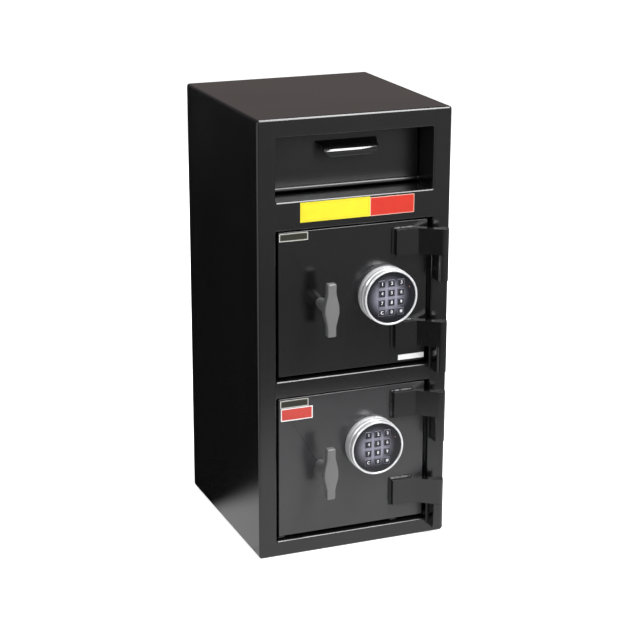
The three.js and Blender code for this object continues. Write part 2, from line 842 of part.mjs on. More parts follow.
// A floor that falls to the rear between two cheeks, cut out of a sector
function drawerTray() {
  const half = windowHalf - drawerGap;
  const start = drawerSheet / 2 + weldGap;
  const rollEdge = drawerRollRadius + weldGap;
  const sector = new THREE.Shape();
  sector.absarc(0, 0, trayReach, -trayFall, Math.acos(start / trayReach), false);
  sector.lineTo(start, rollEdge);
  sector.absarc(0, 0, rollEdge, Math.acos(start / rollEdge), -trayFall, true);
  const block = alongX(sector, -half, half, smallSides);

  const inner = half - traySheet;
  const down = new THREE.Vector2(Math.cos(trayFall), -Math.sin(trayFall));
  const up = new THREE.Vector2(-down.y, down.x);
  const corner = start + traySheet;
  const floorLine = (distance) => down.clone().multiplyScalar(distance).addScaledVector(up, traySheet);
  const nearEnd = floorLine(corner / down.x - (traySheet * up.x) / down.x);
  const farEnd = floorLine(trayReach + overrun);
  const hollow = new THREE.Shape();
  hollow.moveTo(corner, nearEnd.y);
  hollow.lineTo(farEnd.x, farEnd.y);
  hollow.lineTo(trayReach + overrun, trayReach + overrun);
  hollow.lineTo(corner, trayReach + overrun);
  const aboveFlange = boxBetween(
    [-inner, 0, trayFlangeHeight],
    [inner, corner + overrun, trayReach + overrun],
  );
  const tray = cut(block, alongX(hollow, -inner, inner), aboveFlange);
  return tray.translate(0, drawerAxisY, drawerAxisZ);
}

// A bent lip pull: down and out from the panel, over a bend, with round lower corners
function drawerPull() {
  const back = drawerFront - weldGap;
  const top = depositWindow.top - pullBelowTop;
  const front = back - pullReach;
  const bottom = top - pullHeight;
  const bendY = front + pullBend;
  const tangentY = bendY - pullBend * Math.sin(pullSlope);
  const tangentZ = top - (back - tangentY) * Math.tan(pullSlope);
  const bendZ = tangentZ - pullBend * Math.cos(pullSlope);
  const leave = Math.PI / 2 + pullSlope;
  const section = new THREE.Shape();
  section.moveTo(back, top);
  section.lineTo(tangentY, tangentZ);
  section.absarc(bendY, bendZ, pullBend, leave, Math.PI, false);
  section.lineTo(front, bottom);
  section.lineTo(front + pullSheet, bottom);
  section.absarc(bendY, bendZ, pullBend - pullSheet, Math.PI, leave, true);
  section.lineTo(back, top - pullSheet / Math.cos(pullSlope));
  const wide = pullRootWidth / 2;
  const narrow = pullLipWidth / 2;
  const sheet = alongX(section, -wide, wide, smallSides / 2);

  const lipView = new THREE.Shape();
  roundRectangle(lipView, -narrow, bottom, narrow, top + pullCorner, pullCorner);
  const planView = new THREE.Shape();
  planView.moveTo(-wide, back);
  planView.lineTo(-narrow, front);
  planView.lineTo(narrow, front);
  planView.lineTo(wide, back);
  const taper = alongZ(planView, bottom, top);
  const lip = alongY(lipView, front, bendY, 0, smallSides / 2);
  const root = boxBetween([-wide, tangentY, bottom], [wide, back, top]);
  const pull = common(common(sheet, taper), join(lip, root));
  return pull.translate(pullOffset, 0, 0);
}

addPiece('front_frame', frontFrame(), looks.coat());
addPiece('body_wrap', bodyWrap(), looks.coat());
addPiece('back_panel', backPanel(), looks.coat());
addPiece('compartment_shelf', compartmentShelf(), looks.coat());
addPiece('recess_liner', recessLiner(), looks.coat());
addPiece('deposit_deck', depositDeck(), looks.coat());
addPiece('drawer_baffle', drawerBaffle(), looks.coat());
addPiece('anti_fish_baffle', fishBaffle(), looks.coat());
addPiece('drawer_rod', drawerRod(), looks.zinc());
addPiece('drawer_panel', drawerPanel(), looks.coat());
addPiece('drawer_tray', drawerTray(), looks.coat());
addPiece('drawer_pull', drawerPull(), looks.gloss());
makeDoor('upper', upperWindow);
makeDoor('lower', lowerWindow);

export default group;
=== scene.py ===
# %% [markdown]
# # A drop safe with a deposit drawer
#
# A drop safe is a tall steel cabinet. Money goes in through a drawer at its top and falls
# behind two plate doors, each with a T handle and a round keypad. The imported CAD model
# gives every piece its size and place, so it is the fixed frame of this scene. Each CAD
# piece gets a procedural finish, and the pieces that show most are drawn again in finer
# form. Lengths are written in millimetres, as on a maker's drawing, and turned into
# metres when a mesh is made.

# %% Load the frame
import json
import math

import bmesh
import bpy
import numpy as np
from mathutils import Matrix, Vector


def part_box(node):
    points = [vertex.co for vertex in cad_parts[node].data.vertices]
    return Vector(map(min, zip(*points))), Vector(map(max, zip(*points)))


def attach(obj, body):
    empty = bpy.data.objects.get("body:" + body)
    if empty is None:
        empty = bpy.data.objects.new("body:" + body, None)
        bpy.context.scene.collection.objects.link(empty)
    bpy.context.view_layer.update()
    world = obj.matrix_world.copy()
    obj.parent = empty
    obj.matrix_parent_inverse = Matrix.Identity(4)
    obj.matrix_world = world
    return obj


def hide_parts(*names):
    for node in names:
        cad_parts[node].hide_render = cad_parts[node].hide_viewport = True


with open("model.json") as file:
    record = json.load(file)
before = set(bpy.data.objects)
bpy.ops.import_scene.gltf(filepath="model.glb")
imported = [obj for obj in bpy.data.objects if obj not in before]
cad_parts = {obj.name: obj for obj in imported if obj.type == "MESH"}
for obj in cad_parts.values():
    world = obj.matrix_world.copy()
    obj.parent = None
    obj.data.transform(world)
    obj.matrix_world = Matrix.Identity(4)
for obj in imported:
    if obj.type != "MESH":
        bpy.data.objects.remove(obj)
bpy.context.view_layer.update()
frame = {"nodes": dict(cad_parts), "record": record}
MM = 0.001
DOORS = ("upper", "lower")
KEYS = ("1", "2", "3", "4", "5", "6", "7", "8", "9", "c", "0", "hash")


def box_mm(node):
    """The low and high corner of a CAD piece, in millimetres."""
    low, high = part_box(node)
    return np.array(low) / MM, np.array(high) / MM


# %% [markdown]
# ## Surfaces
#
# Rings, keys, handles and welds have rounded, changing sections. They could be boxes
# with many modifiers, but then each fillet would be found by trial. A loft is more
# direct: a ring of points is worked out by formula, moved along the piece, and the rings
# are joined into a closed skin.

# %% Lofts and flat outlines


def loft(rings, loop=False):
    """Points and blocks of faces of a skin over rings, an array of rows, columns and x, y, z.

    A point joins the next one in its ring and the two beside them in the next ring. An
    open skin is closed by a fan round the mean of each end ring.
    """
    rings = np.asarray(rings, float)
    rows, cols, _ = rings.shape
    index = np.arange(rows * cols).reshape(rows, cols)
    first = index if loop else index[:-1]
    second = np.roll(index, -1, 0) if loop else index[1:]
    quads = [first, np.roll(first, -1, 1), np.roll(second, -1, 1), second]
    points = [rings.reshape(-1, 3)]
    faces = [np.stack(quads, -1).reshape(-1, 4)]
    if not loop:
        for place, row in enumerate((0, -1)):
            edge = index[row]
            tip = np.full(cols, rows * cols + place)
            points.append(rings[row].mean(0)[None])
            faces.append(np.stack([edge, np.roll(edge, -1), tip], -1))
    return np.concatenate(points), faces


def round_rectangle(half_width, half_height, radius, corner=6):
    """Across and up of a rectangle: a quarter circle about each corner's own centre."""
    angle = np.arange(4)[:, None] * math.pi / 2 + np.linspace(0, math.pi / 2, corner)
    side_x = np.array([1, -1, -1, 1])[:, None]
    side_z = np.array([1, 1, -1, -1])[:, None]
    x = side_x * (half_width - radius) + radius * np.cos(angle)
    z = side_z * (half_height - radius) + radius * np.sin(angle)
    return np.stack([x, z], -1).reshape(-1, 2)


def circle(radius, count):
    """Across and up of a circle: the radius times the cosine and the sine."""
    angle = np.linspace(0, 2 * math.pi, count, endpoint=False)
    return np.stack([radius * np.cos(angle), radius * np.sin(angle)], -1)


def facing_front(flat, y, x=0.0, z=0.0):
    """A flat outline of across and up, placed in the plane y about x and z."""
    return np.stack([x + flat[:, 0], np.full(len(flat), y), z + flat[:, 1]], -1)


print("a round square has", len(round_rectangle(1, 1, 0.2)), "points")

# %% [markdown]
# Each skin becomes one object with its place in its mesh. Its faces are turned outwards
# once the mesh is made, because a ring may run either way. Some finishes follow the
# piece and not the room, such as a line round a label, so a piece can keep each point's
# place about its own middle.

# %% From skins to pieces


def face_outwards(mesh):
    """Turns all faces of each closed shell so that they point away from its inside."""
    shell = bmesh.new()
    shell.from_mesh(mesh)
    bmesh.ops.recalc_face_normals(shell, faces=shell.faces)
    shell.to_mesh(mesh)
    shell.free()


def keep_place(mesh, points, centre):
    """Stores each point less the centre, in millimetres, as the attribute place."""
    layer = mesh.attributes.new("place", "FLOAT_VECTOR", "POINT")
    layer.data.foreach_set("vector", (points - np.array(centre)).ravel())


def add_piece(name, skins, material, body, sharp=35, centre=None, stands_for=()):
    """Makes one mesh object from skins in millimetres, and lets it ride on a body."""
    points, faces, offset = [], [], 0
    for skin_points, blocks in skins:
        points.append(skin_points)
        for block in blocks:
            faces += (block + offset).tolist()
        offset += len(skin_points)
    points = np.concatenate(points)
    name = name.replace(" ", "_")
    mesh = bpy.data.meshes.new(name)
    mesh.from_pydata((points * MM).tolist(), [], faces)
    face_outwards(mesh)
    mesh.shade_smooth()
    mesh.set_sharp_from_angle(angle=math.radians(sharp))
    if centre is not None:
        keep_place(mesh, points, centre)
    mesh.materials.append(material)
    piece = bpy.data.objects.new(name, mesh)
    bpy.context.scene.collection.objects.link(piece)
    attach(piece, body)
    if stands_for:
        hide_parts(*stands_for)


# %% [markdown]
# ## Finishes
#
# Powder coat, plated sheet, cast metal, plastic and print cover the safe. Pictures of
# such surfaces could be laid on, but node patterns need no files and have no seams. The
# patterns that several finishes share are node groups, which give only colours,
# roughness, distances and normals. The shader itself stays in each material. A few
# helpers place one node each, so that a finish reads like the sum that it is.

# %% Node helpers


def plug(tree, socket, value):
    """Links a socket to another one, or sets it to a plain value."""
    if isinstance(value, bpy.types.NodeSocket):
        tree.links.new(value, socket)
    else:
        socket.default_value = value


def new_group(name, inputs, outputs):
    """An empty node group with its sockets, and its two end nodes."""
    group = bpy.data.node_groups.new(name, "ShaderNodeTree")
    for label, kind, value in inputs:
        socket = group.interface.new_socket(label, in_out="INPUT", socket_type=kind)
        socket.default_value = value
    for label, kind in outputs:
        group.interface.new_socket(label, in_out="OUTPUT", socket_type=kind)
    return group, group.nodes.new("NodeGroupInput"), group.nodes.new("NodeGroupOutput")


def math_node(tree, operation, *values):
    """One sum of plain numbers or sockets."""
    node = tree.nodes.new("ShaderNodeMath")
    node.operation = operation
    for socket, value in zip(node.inputs, values):
        plug(tree, socket, value)
    return node.outputs[0]


def vector_node(tree, operation, *values, result="Vector"):
    """One sum of vectors, whose result is a vector or, as Value, a number."""
    node = tree.nodes.new("ShaderNodeVectorMath")
    node.operation = operation
    for socket, value in zip(node.inputs, values):
        plug(tree, socket, value)
    return node.outputs[result]


def mix_colour(tree, factor, first, second):
    """The first colour at factor 0, the second at factor 1."""
    node = tree.nodes.new("ShaderNodeMix")
    node.data_type = "RGBA"
    sockets = (node.inputs[0], node.inputs[6], node.inputs[7])
    for socket, value in zip(sockets, (factor, first, second)):
        plug(tree, socket, value)
    return node.outputs[2]


def noise(tree, vector, scale, detail=2.0, roughness=0.5):
    """Cloudy noise from 0 to 1, with scale as its number of clouds in a metre."""
    node = tree.nodes.new("ShaderNodeTexNoise")
    node.inputs["Detail"].default_value = detail
    node.inputs["Roughness"].default_value = roughness
    plug(tree, node.inputs["Scale"], scale)
    tree.links.new(vector, node.inputs["Vector"])
    return node.outputs["Fac"]


def object_place(tree):
    """Each point's place in the object, in metres, which moves with the piece."""
    return tree.nodes.new("ShaderNodeTexCoord").outputs["Object"]


print("materials before the first finish", len(bpy.data.materials))

# %% [markdown]
# Two patterns cover the metal. Powder coat melts into a fine orange peel with faint
# cloudy patches. Rolled and plated sheet has long fine streaks. Colour and gloss could
# each have a noise of their own, but on the real thing one cause changes both, so in
# each pattern the same noise drives them.

# %% Powder coat and streaks


def surface_group(name, setting, socket_kind, value):
    """Colour, roughness, one setting and depth go in. Colour, roughness, normal come out."""
    return new_group(
        name,
        [
            ("Colour", "NodeSocketColor", (0.02, 0.02, 0.02, 1)),
            ("Roughness", "NodeSocketFloat", 0.4),
            (setting, socket_kind, value),
            ("Depth", "NodeSocketFloat", 0.1),
        ],
        [
            ("Colour", "NodeSocketColor"),
            ("Roughness", "NodeSocketFloat"),
            ("Normal", "NodeSocketVector"),
        ],
    )


def finish_group(group, given, made, lighter, rougher, height, distance):
    """Scales the colour, shifts the roughness and raises a bump by the patterns given."""
    shade = vector_node(group, "SCALE", given.outputs["Colour"])
    group.links.new(lighter, shade.node.inputs["Scale"])
    rough = math_node(group, "ADD", given.outputs["Roughness"], rougher)
    bump = group.nodes.new("ShaderNodeBump")
    bump.inputs["Distance"].default_value = distance
    group.links.new(given.outputs["Depth"], bump.inputs["Strength"])
    group.links.new(height, bump.inputs["Height"])
    group.links.new(shade, made.inputs["Colour"])
    group.links.new(rough, made.inputs["Roughness"])
    group.links.new(bump.outputs["Normal"], made.inputs["Normal"])
    return group


def grain_group():
    """Powder coat: a fine orange peel, with faint patches in colour and gloss."""
    group, given, made = surface_group(
        "Powder coat", "Grain per metre", "NodeSocketFloat", 700.0
    )
    where = object_place(group)
    fine = noise(group, where, given.outputs["Grain per metre"], 3.0, 0.6)
    patches = noise(group, where, 9.0, 3.0)
    lighter = math_node(group, "MULTIPLY_ADD", patches, 0.5, 0.75)
    rougher = math_node(group, "MULTIPLY_ADD", patches, 0.12, -0.06)
    return finish_group(group, given, made, lighter, rougher, fine, 0.0002)


def streak_group():
    """Rolled and plated sheet: long fine streaks with soft cloudy patches."""
    group, given, made = surface_group(
        "Streaks", "Stretch", "NodeSocketVector", (400.0, 400.0, 15.0)
    )
    where = object_place(group)
    stretched = vector_node(group, "MULTIPLY", where, given.outputs["Stretch"])
    streaks = noise(group, stretched, 1.0, 4.0, 0.65)
    clouds = noise(group, where, 25.0, 3.0)
    lighter = math_node(group, "MULTIPLY_ADD", streaks, 0.3, 0.7)
    lighter = math_node(group, "MULTIPLY_ADD", clouds, 0.2, lighter)
    rougher = math_node(group, "MULTIPLY_ADD", streaks, 0.2, -0.1)
    return finish_group(group, given, made, lighter, rougher, streaks, 0.0001)


GRAIN = grain_group()
STREAKS = streak_group()
print("groups", GRAIN.name, "and", STREAKS.name)

# %% [markdown]
# Print follows its label: a rim line keeps its distance from the edge all the way round.
# A line could be a thin mesh of its own, but then each label would be several pieces. So
# the third group measures how far a point lies from the edge, and a finish colours it.

# %% Distance from an edge


def edge_group():
    """The lesser of half width less across and half height less up, in millimetres."""
    group, given, made = new_group(
        "Distance from edge",
        [
            ("Half width", "NodeSocketFloat", 10.0),
            ("Half height", "NodeSocketFloat", 10.0),
        ],
        [("Distance", "NodeSocketFloat")],
    )
    place = group.nodes.new("ShaderNodeAttribute")
    place.attribute_name = "place"
    split = group.nodes.new("ShaderNodeSeparateXYZ")
    group.links.new(place.outputs["Vector"], split.inputs[0])
    across = math_node(group, "ABSOLUTE", split.outputs["X"])
    up = math_node(group, "ABSOLUTE", split.outputs["Z"])
    across = math_node(group, "SUBTRACT", given.outputs["Half width"], across)
    up = math_node(group, "SUBTRACT", given.outputs["Half height"], up)
    nearest = math_node(group, "MINIMUM", across, up)
    group.links.new(nearest, made.inputs["Distance"])
    return group


EDGE = edge_group()
print("group", EDGE.name)

# %% [markdown]
# ## Coats and metals
#
# The cabinet's coat is black and smooth enough to mirror the floor, which is where most
# of its grey comes from. The lower door's coat is a little hazier, and its lighter colour
# is painted reflection of the bright floor it faces. The drawer front's coat is softer,
# the pull is glossier, and the welds carry a thin coat. The handles are satin castings.
# Each could have nodes of its own, but only gloss, grain and colour differ, so one
# function makes every coat and another the plated metals.

# %% Coats and metals


def new_material(name):
    """A material whose shader is linked to its output, with nothing else in it yet."""
    material = bpy.data.materials.new(name)
    material.use_nodes = True
    tree = material.node_tree
    tree.nodes.clear()
    shader = tree.nodes.new("ShaderNodeBsdfPrincipled")
    end = tree.nodes.new("ShaderNodeOutputMaterial")
    tree.links.new(shader.outputs[0], end.inputs[0])
    return material, tree, shader


def use_group(tree, group, shader, **values):
    """Places a group. One that gives a colour also drives roughness and normal."""
    node = tree.nodes.new("ShaderNodeGroup")
    node.node_tree = group
    for label, value in values.items():
        node.inputs[label.replace("_", " ")].default_value = value
    if "Colour" in node.outputs:
        tree.links.new(node.outputs["Colour"], shader.inputs["Base Color"])
        tree.links.new(node.outputs["Roughness"], shader.inputs["Roughness"])
        tree.links.new(node.outputs["Normal"], shader.inputs["Normal"])
    return node


def coat(name, colour, roughness, depth, grain, specular=0.8, **sockets):
    """A coat on the grain group. Other shader sockets are named with _ for a space."""
    material, tree, shader = new_material(name)
    use_group(
        tree, GRAIN, shader,
        Colour=(*colour, 1), Roughness=roughness, Depth=depth, Grain_per_metre=grain,
    )
    shader.inputs["Specular IOR Level"].default_value = specular
    for label, value in sockets.items():
        shader.inputs[label.replace("_", " ")].default_value = value
    return material


def metal(name, colour, roughness, stretch, metallic):
    """Plated metal on the streak group."""
    material, tree, shader = new_material(name)
    use_group(
        tree, STREAKS, shader,
        Colour=(*colour, 1), Roughness=roughness, Stretch=stretch, Depth=0.15,
    )
    shader.inputs["Metallic"].default_value = metallic
    return material


BLACK = coat("black powder coat", (0.006, 0.006, 0.0065), 0.18, 0.5, 420.0)
# The lower door's coat is lighter in colour as painted reflection; its gloss is only a little
# hazier.
HAZY_PAINTED_LIGHT_COAT = coat("hazy powder coat with painted reflection", (0.032, 0.032, 0.034), 0.2, 0.6, 420.0)
SOFT = coat("soft gloss powder coat", (0.0065, 0.0065, 0.007), 0.3, 0.5, 420.0)
WELD = coat("coated weld", (0.004, 0.004, 0.0045), 0.2, 0.4, 900.0, 0.4)
GLOSS = coat(
    "gloss black", (0.006, 0.006, 0.0065), 0.1, 0.05, 300.0, 1.0, Coat_Weight=0.8
)
SATIN = coat(
    "satin cast grey", (0.19, 0.19, 0.193), 0.4, 0.12, 1400.0, Metallic=0.3
)
ZINC = metal("zinc plate", (0.55, 0.56, 0.58), 0.32, (400.0, 400.0, 15.0), 1.0)
CHROME = metal("chrome", (0.93, 0.93, 0.95), 0.16, (150.0, 150.0, 150.0), 0.4)
print("coats and metals", len(bpy.data.materials))

# %% [markdown]
# ## Keypad and print
#
# The keypad's face is black plastic on which a pale light spreads from the keys. A lamp
# behind the face would need a clear plastic, so the light is a soft round patch in the
# colour, full at its middle and gone before the ring. Its middle is given in
# millimetres from the face's own, and its two radii in metres, as the shader measures.

# %% Keypad face

GLOW_OFFSET = Vector((-5, 0, 2))
GLOW_FULL, GLOW_END = 0.01, 0.044
GLOW_COLOUR, FACE_COLOUR = (0.27, 0.265, 0.33, 1), (0.008, 0.008, 0.012, 1)


def keypad_face_material(name, centre):
    """Dark plastic with a painted glow, paler by the distance from a point amid the keys."""
    material, tree, shader = new_material(name)
    where = object_place(tree)
    offset = vector_node(tree, "SUBTRACT", where, (Vector(centre) + GLOW_OFFSET) * MM)
    split = tree.nodes.new("ShaderNodeSeparateXYZ")
    tree.links.new(offset, split.inputs[0])
    flat = tree.nodes.new("ShaderNodeCombineXYZ")
    tree.links.new(split.outputs["X"], flat.inputs["X"])
    tree.links.new(split.outputs["Z"], flat.inputs["Z"])
    length = vector_node(tree, "LENGTH", flat.outputs[0], result="Value")
    ramp = tree.nodes.new("ShaderNodeMapRange")
    ramp.interpolation_type = "SMOOTHERSTEP"
    ramp.inputs["From Min"].default_value = GLOW_FULL
    ramp.inputs["From Max"].default_value = GLOW_END
    ramp.inputs["To Min"].default_value = 1.0
    ramp.inputs["To Max"].default_value = 0.0
    tree.links.new(length, ramp.inputs["Value"])
    speckle = noise(tree, where, 500.0)
    glow = math_node(tree, "MULTIPLY_ADD", speckle, 0.5, 0.75)
    glow = math_node(tree, "MULTIPLY", glow, ramp.outputs[0])
    colour = mix_colour(tree, glow, FACE_COLOUR, GLOW_COLOUR)
    tree.links.new(colour, shader.inputs["Base Color"])
    shader.inputs["Roughness"].default_value = 0.22
    return material


print("the glow reaches", GLOW_END / MM, "mm")

# %% [markdown]
# A key is dark rubber with a pale line round its rim, and the labels are flat print with
# lines of other colours. A line is where the distance from the edge equals one value, to
# within half the line's width, which the Compare operation tells directly.

# %% Key and print

KEY_HALF = 6.5
RIM_LINE = (0.4, 0.4)


def key_material():
    """Dark key with a pale line round its rim."""
    material, tree, shader = new_material("key")
    edge = use_group(tree, EDGE, shader, Half_width=KEY_HALF, Half_height=KEY_HALF)
    line = math_node(tree, "COMPARE", edge.outputs[0], *RIM_LINE)
    speckle = noise(tree, object_place(tree), 900.0)
    dark = mix_colour(tree, speckle, (0.008, 0.008, 0.012, 1), (0.02, 0.02, 0.03, 1))
    colour = mix_colour(tree, line, dark, (0.16, 0.155, 0.2, 1))
    tree.links.new(colour, shader.inputs["Base Color"])
    shader.inputs["Roughness"].default_value = 0.38
    return material


def printed_material(name, colour, roughness, lines=(), half=(10.0, 10.0)):
    """Print: a ground colour, then lines of distance from the edge, half width, colour."""
    material, tree, shader = new_material(name)
    edge = use_group(tree, EDGE, shader, Half_width=half[0], Half_height=half[1])
    cloud = noise(tree, object_place(tree), 60.0, 3.0)
    darker = tuple(c * 0.86 for c in colour)
    shade = mix_colour(tree, cloud, (*darker, 1), (*colour, 1))
    for distance, half_width, line_colour in lines:
        mask = math_node(tree, "COMPARE", edge.outputs[0], distance, half_width)
        shade = mix_colour(tree, mask, shade, (*line_colour, 1))
    tree.links.new(shade, shader.inputs["Base Color"])
    shader.inputs["Roughness"].default_value = roughness
    return material


KEY = key_material()
FIGURE = printed_material("key figure", (0.85, 0.85, 0.9), 0.4)
LAMP = printed_material("indicator lamp", (0.3, 0.13, 0.12), 0.15)
print("materials", len(bpy.data.materials))

# %% [markdown]
# ## The CAD pieces
#
# Bent sheet and cut plate keep their CAD form. Real edges are never quite sharp and
# catch the light, so each edge gets a hair of rounding. A subdivided mesh would bulge on
# the flat faces, while a bevel with weighted normals leaves them flat. The hinge arms
# have a shallow kink, so their bevel starts at a smaller angle.

# %% Finish the CAD pieces

SLOT_FINISH = {
    "black_powder_coat": BLACK,
    "gloss_black_steel": GLOSS,
    "zinc_steel": ZINC,
    "bright_chrome": CHROME,
    "satin_cast_metal": SATIN,
    "keypad_plastic": BLACK,
    "key_rubber": KEY,
}
EDGE_ROUNDING = {
    "hinge_arm": 1.2,
    "frame_knuckle": 1.0,
    "drawer_panel": 0.4,
    "door_plate": 0.8,
    "keypad_face": 0.15,
    "lock_case": 0.3,
}
OTHER_ROUNDING = 0.35
slot_of = {part["node"]: part["material_slot"] for part in frame["record"]["subparts"]}


def finish_node(node, name):
    """Gives one CAD piece its slot's finish and rounds its edges."""
    mesh = node.data
    mesh.materials.clear()
    mesh.materials.append(SLOT_FINISH[slot_of[name]])
    if "custom_normal" in mesh.attributes:
        mesh.attributes.remove(mesh.attributes["custom_normal"])
    mesh.shade_smooth()
    weld = node.modifiers.new("join doubles", "WELD")
    weld.merge_threshold = 0.01 * MM
    widths = (width for key, width in EDGE_ROUNDING.items() if key in name)
    bevel = node.modifiers.new("soft edges", "BEVEL")
    bevel.width = next(widths, OTHER_ROUNDING) * MM
    bevel.segments = 2
    bevel.limit_method = "ANGLE"
    bevel.angle_limit = math.radians(15 if "hinge_arm" in name else 50)
    normal = node.modifiers.new("flat faces", "WEIGHTED_NORMAL")
    normal.weight = 80
    normal.keep_sharp = False


for node_name, node in frame["nodes"].items():
    finish_node(node, node_name)

# The lower door plate's lighter colour is painted reflection.
frame["nodes"]["lower_door_plate"].data.materials[0] = HAZY_PAINTED_LIGHT_COAT
frame["nodes"]["drawer_panel"].data.materials[0] = SOFT
for door in DOORS:
    low, high = box_mm(f"{door}_keypad_face")
    face = frame["nodes"][f"{door}_keypad_face"]
    face.data.materials[0] = keypad_face_material(f"{door} keypad face", (low + high) / 2)
print("finished", len(frame["nodes"]), "CAD pieces")

# %% [markdown]
# ## Keypads
#
# The chrome ring is turned on a lathe and its rear band is knurled for grip. Cutting
# each rib would cost many operations, so the profile is swept round a circle whose
# radius ripples where the ribs are.

# %% Keypad rings

RIBS = 110
RIB_DEPTH = 0.5
RIBS_START_SHARE = 0.68
FACE_GAP = 0.4


def keypad_ring(door):
    """Each point of the profile goes round at its radius, less a cosine wave on the ribs."""
    low, high = box_mm(f"{door}_keypad_ring")
    centre = (low + high) / 2
    front, back = low[1], high[1]
    outer = (high[0] - low[0]) / 2
    face_low, face_high = box_mm(f"{door}_keypad_face")
    bore = (face_high[0] - face_low[0]) / 2 + FACE_GAP
    depth = back - front
    profile = [
        (bore, back), (bore, front + 1.4), (bore + 0.25, front + 0.7),
        (bore + 0.9, front + 0.15), (bore + 1.8, front), (outer - 1.9, front + 0.1),
        (outer - 1.15, front + 0.5), (outer - 0.85, front + 1.2),
        (outer - 0.85, front + 0.27 * depth), (outer - 1.1, front + 0.285 * depth),
        (outer - 1.6, front + 0.3 * depth), (outer - 1.6, front + 0.33 * depth),
        (outer - 1.0, front + 0.345 * depth), (outer - 0.35, front + 0.36 * depth),
        (outer, front + 0.39 * depth), (outer, front + 0.6 * depth),
        (outer - 0.25, front + 0.63 * depth), (outer - 1.4, front + 0.645 * depth),
        (outer - 1.4, front + 0.67 * depth), (outer - 0.3, front + 0.69 * depth),
        (outer, front + 0.71 * depth), (outer, back - 1.2), (outer - 0.5, back - 0.2),
        (outer - 1.0, back),
    ]
    radius, y = np.array(profile).T[:, :, None]
    count = RIBS * 8
    angle = np.linspace(0, 2 * math.pi, count, endpoint=False)
    wave = 0.5 - 0.5 * np.cos(RIBS * angle)
    ribbed = ((y - front) / depth > RIBS_START_SHARE) & (radius > bore + 1)
    rippled = radius - RIB_DEPTH * wave * ribbed
    x = centre[0] + rippled * np.cos(angle)
    z = centre[2] + rippled * np.sin(angle)
    rings = np.stack([x, np.broadcast_to(y, x.shape), z], -1)
    add_piece(
        f"{door} fine keypad ring", [loft(rings, loop=True)], CHROME,
        f"{door}_ring", 50, None, [f"{door}_keypad_ring"],
    )


print("ribs on each ring", RIBS)

# %% [markdown]
# A key is a square rubber pad with a soft rim and a slightly hollow top, where the finger
# rests. A bevelled cube would give the rim and not the hollow, so the pad is a loft of
# squares that shrink towards the middle while their depth changes.

# %% Keys

KEY_CORNER = 1.6


def key_pad(door, key):
    """Round squares that shrink by a share while their depth follows the rim and hollow."""
    low, high = box_mm(f"{door}_key_{key}")
    centre = (low + high) / 2
    half = (high[0] - low[0]) / 2
    front, back = low[1], high[1]
    steps = [
        (1.0, back), (1.0, front + 0.9), (0.985, front + 0.45), (0.95, front + 0.12),
        (0.9, front), (0.8, front + 0.03), (0.6, front + 0.12), (0.3, front + 0.18),
    ]
    rings = []
    for share, y in steps:
        square = round_rectangle(half * share, half * share, KEY_CORNER * share, 7)
        rings.append(facing_front(square, y, centre[0], centre[2]))
    add_piece(
        f"{door} fine key {key}", [loft(rings)], KEY, f"{door}_key_{key}",
        50, centre, [f"{door}_key_{key}"],
    )


print("corner radius of a key", KEY_CORNER)

# %% [markdown]
# The figure on a key is raised print. It could stay a text object, but its finish and its
# place are set point by point, so the text is turned into a mesh and stood up.

# %% Key figures

FIGURE_SIZE, FIGURE_BOLD, FIGURE_HALF_THICK = 8.4, 0.14, 0.06
FIGURE_SHIFT = (0.6, 0.4)
FIGURE_LIFT = 0.02


def key_figure(door, key):
    """Text points less their middle, stood up: across stays, up becomes z, depth y."""
    low, high = box_mm(f"{door}_key_{key}")
    centre = (low + high) / 2
    text = bpy.data.curves.new(f"{door} figure {key}", "FONT")
    text.body = {"c": "C", "hash": "#"}.get(key, key)
    text.size = FIGURE_SIZE * MM
    text.offset = FIGURE_BOLD * MM
    text.extrude = FIGURE_HALF_THICK * MM
    text.resolution_u = 4
    drawn = bpy.data.objects.new("drawn figure", text)
    mesh = bpy.data.meshes.new_from_object(drawn)
    bpy.data.objects.remove(drawn)
    points = np.zeros(len(mesh.vertices) * 3)
    mesh.vertices.foreach_get("co", points)
    points = points.reshape(-1, 3)
    middle = (points.min(0) + points.max(0)) / 2
    x = points[:, 0] - middle[0] + (centre[0] + FIGURE_SHIFT[0]) * MM
    z = points[:, 1] - middle[1] + (centre[2] + FIGURE_SHIFT[1]) * MM
    y = (low[1] - FIGURE_LIFT) * MM - (points[:, 2] - middle[2])
    placed = np.stack([x, y, z], -1)
    mesh.vertices.foreach_set("co", placed.ravel())
    mesh.name = f"{door}_key_figure_{key}"
    mesh.materials.clear()
    mesh.materials.append(FIGURE)
    keep_place(mesh, placed / MM, centre)
    face_outwards(mesh)
    figure = bpy.data.objects.new(mesh.name, mesh)
    bpy.context.scene.collection.objects.link(figure)
    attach(figure, f"{door}_key_{key}")


print("height of a figure", FIGURE_SIZE)

# %% [markdown]
# A small dark red lamp shows that the lock is awake. A squashed sphere would do, but its
# lower half would be hidden in the face, so the dome is a loft of circles. Once it is
# defined, both keypads are drawn.

# %% Lamps and both keypads

LAMP_PLACE = (35, 17)
LAMP_RADIUS = 1.1


def keypad_lamp(door):
    """A small dome: circles that shrink as they rise from the keypad's face."""
    low, high = box_mm(f"{door}_keypad_face")
    middle = (low + high) / 2
    x, y, z = middle[0] + LAMP_PLACE[0], low[1], middle[2] + LAMP_PLACE[1]
    steps = [(1.0, 0.3), (1.0, 0.0), (0.85, -0.4), (0.5, -0.62), (0.2, -0.7)]
    rings = [
        facing_front(circle(LAMP_RADIUS * share, 24), y + rise, x, z)
        for share, rise in steps
    ]
    add_piece(
        f"{door} keypad lamp", [loft(rings)], LAMP, f"{door}_door",
        50, (x, y, z),
    )


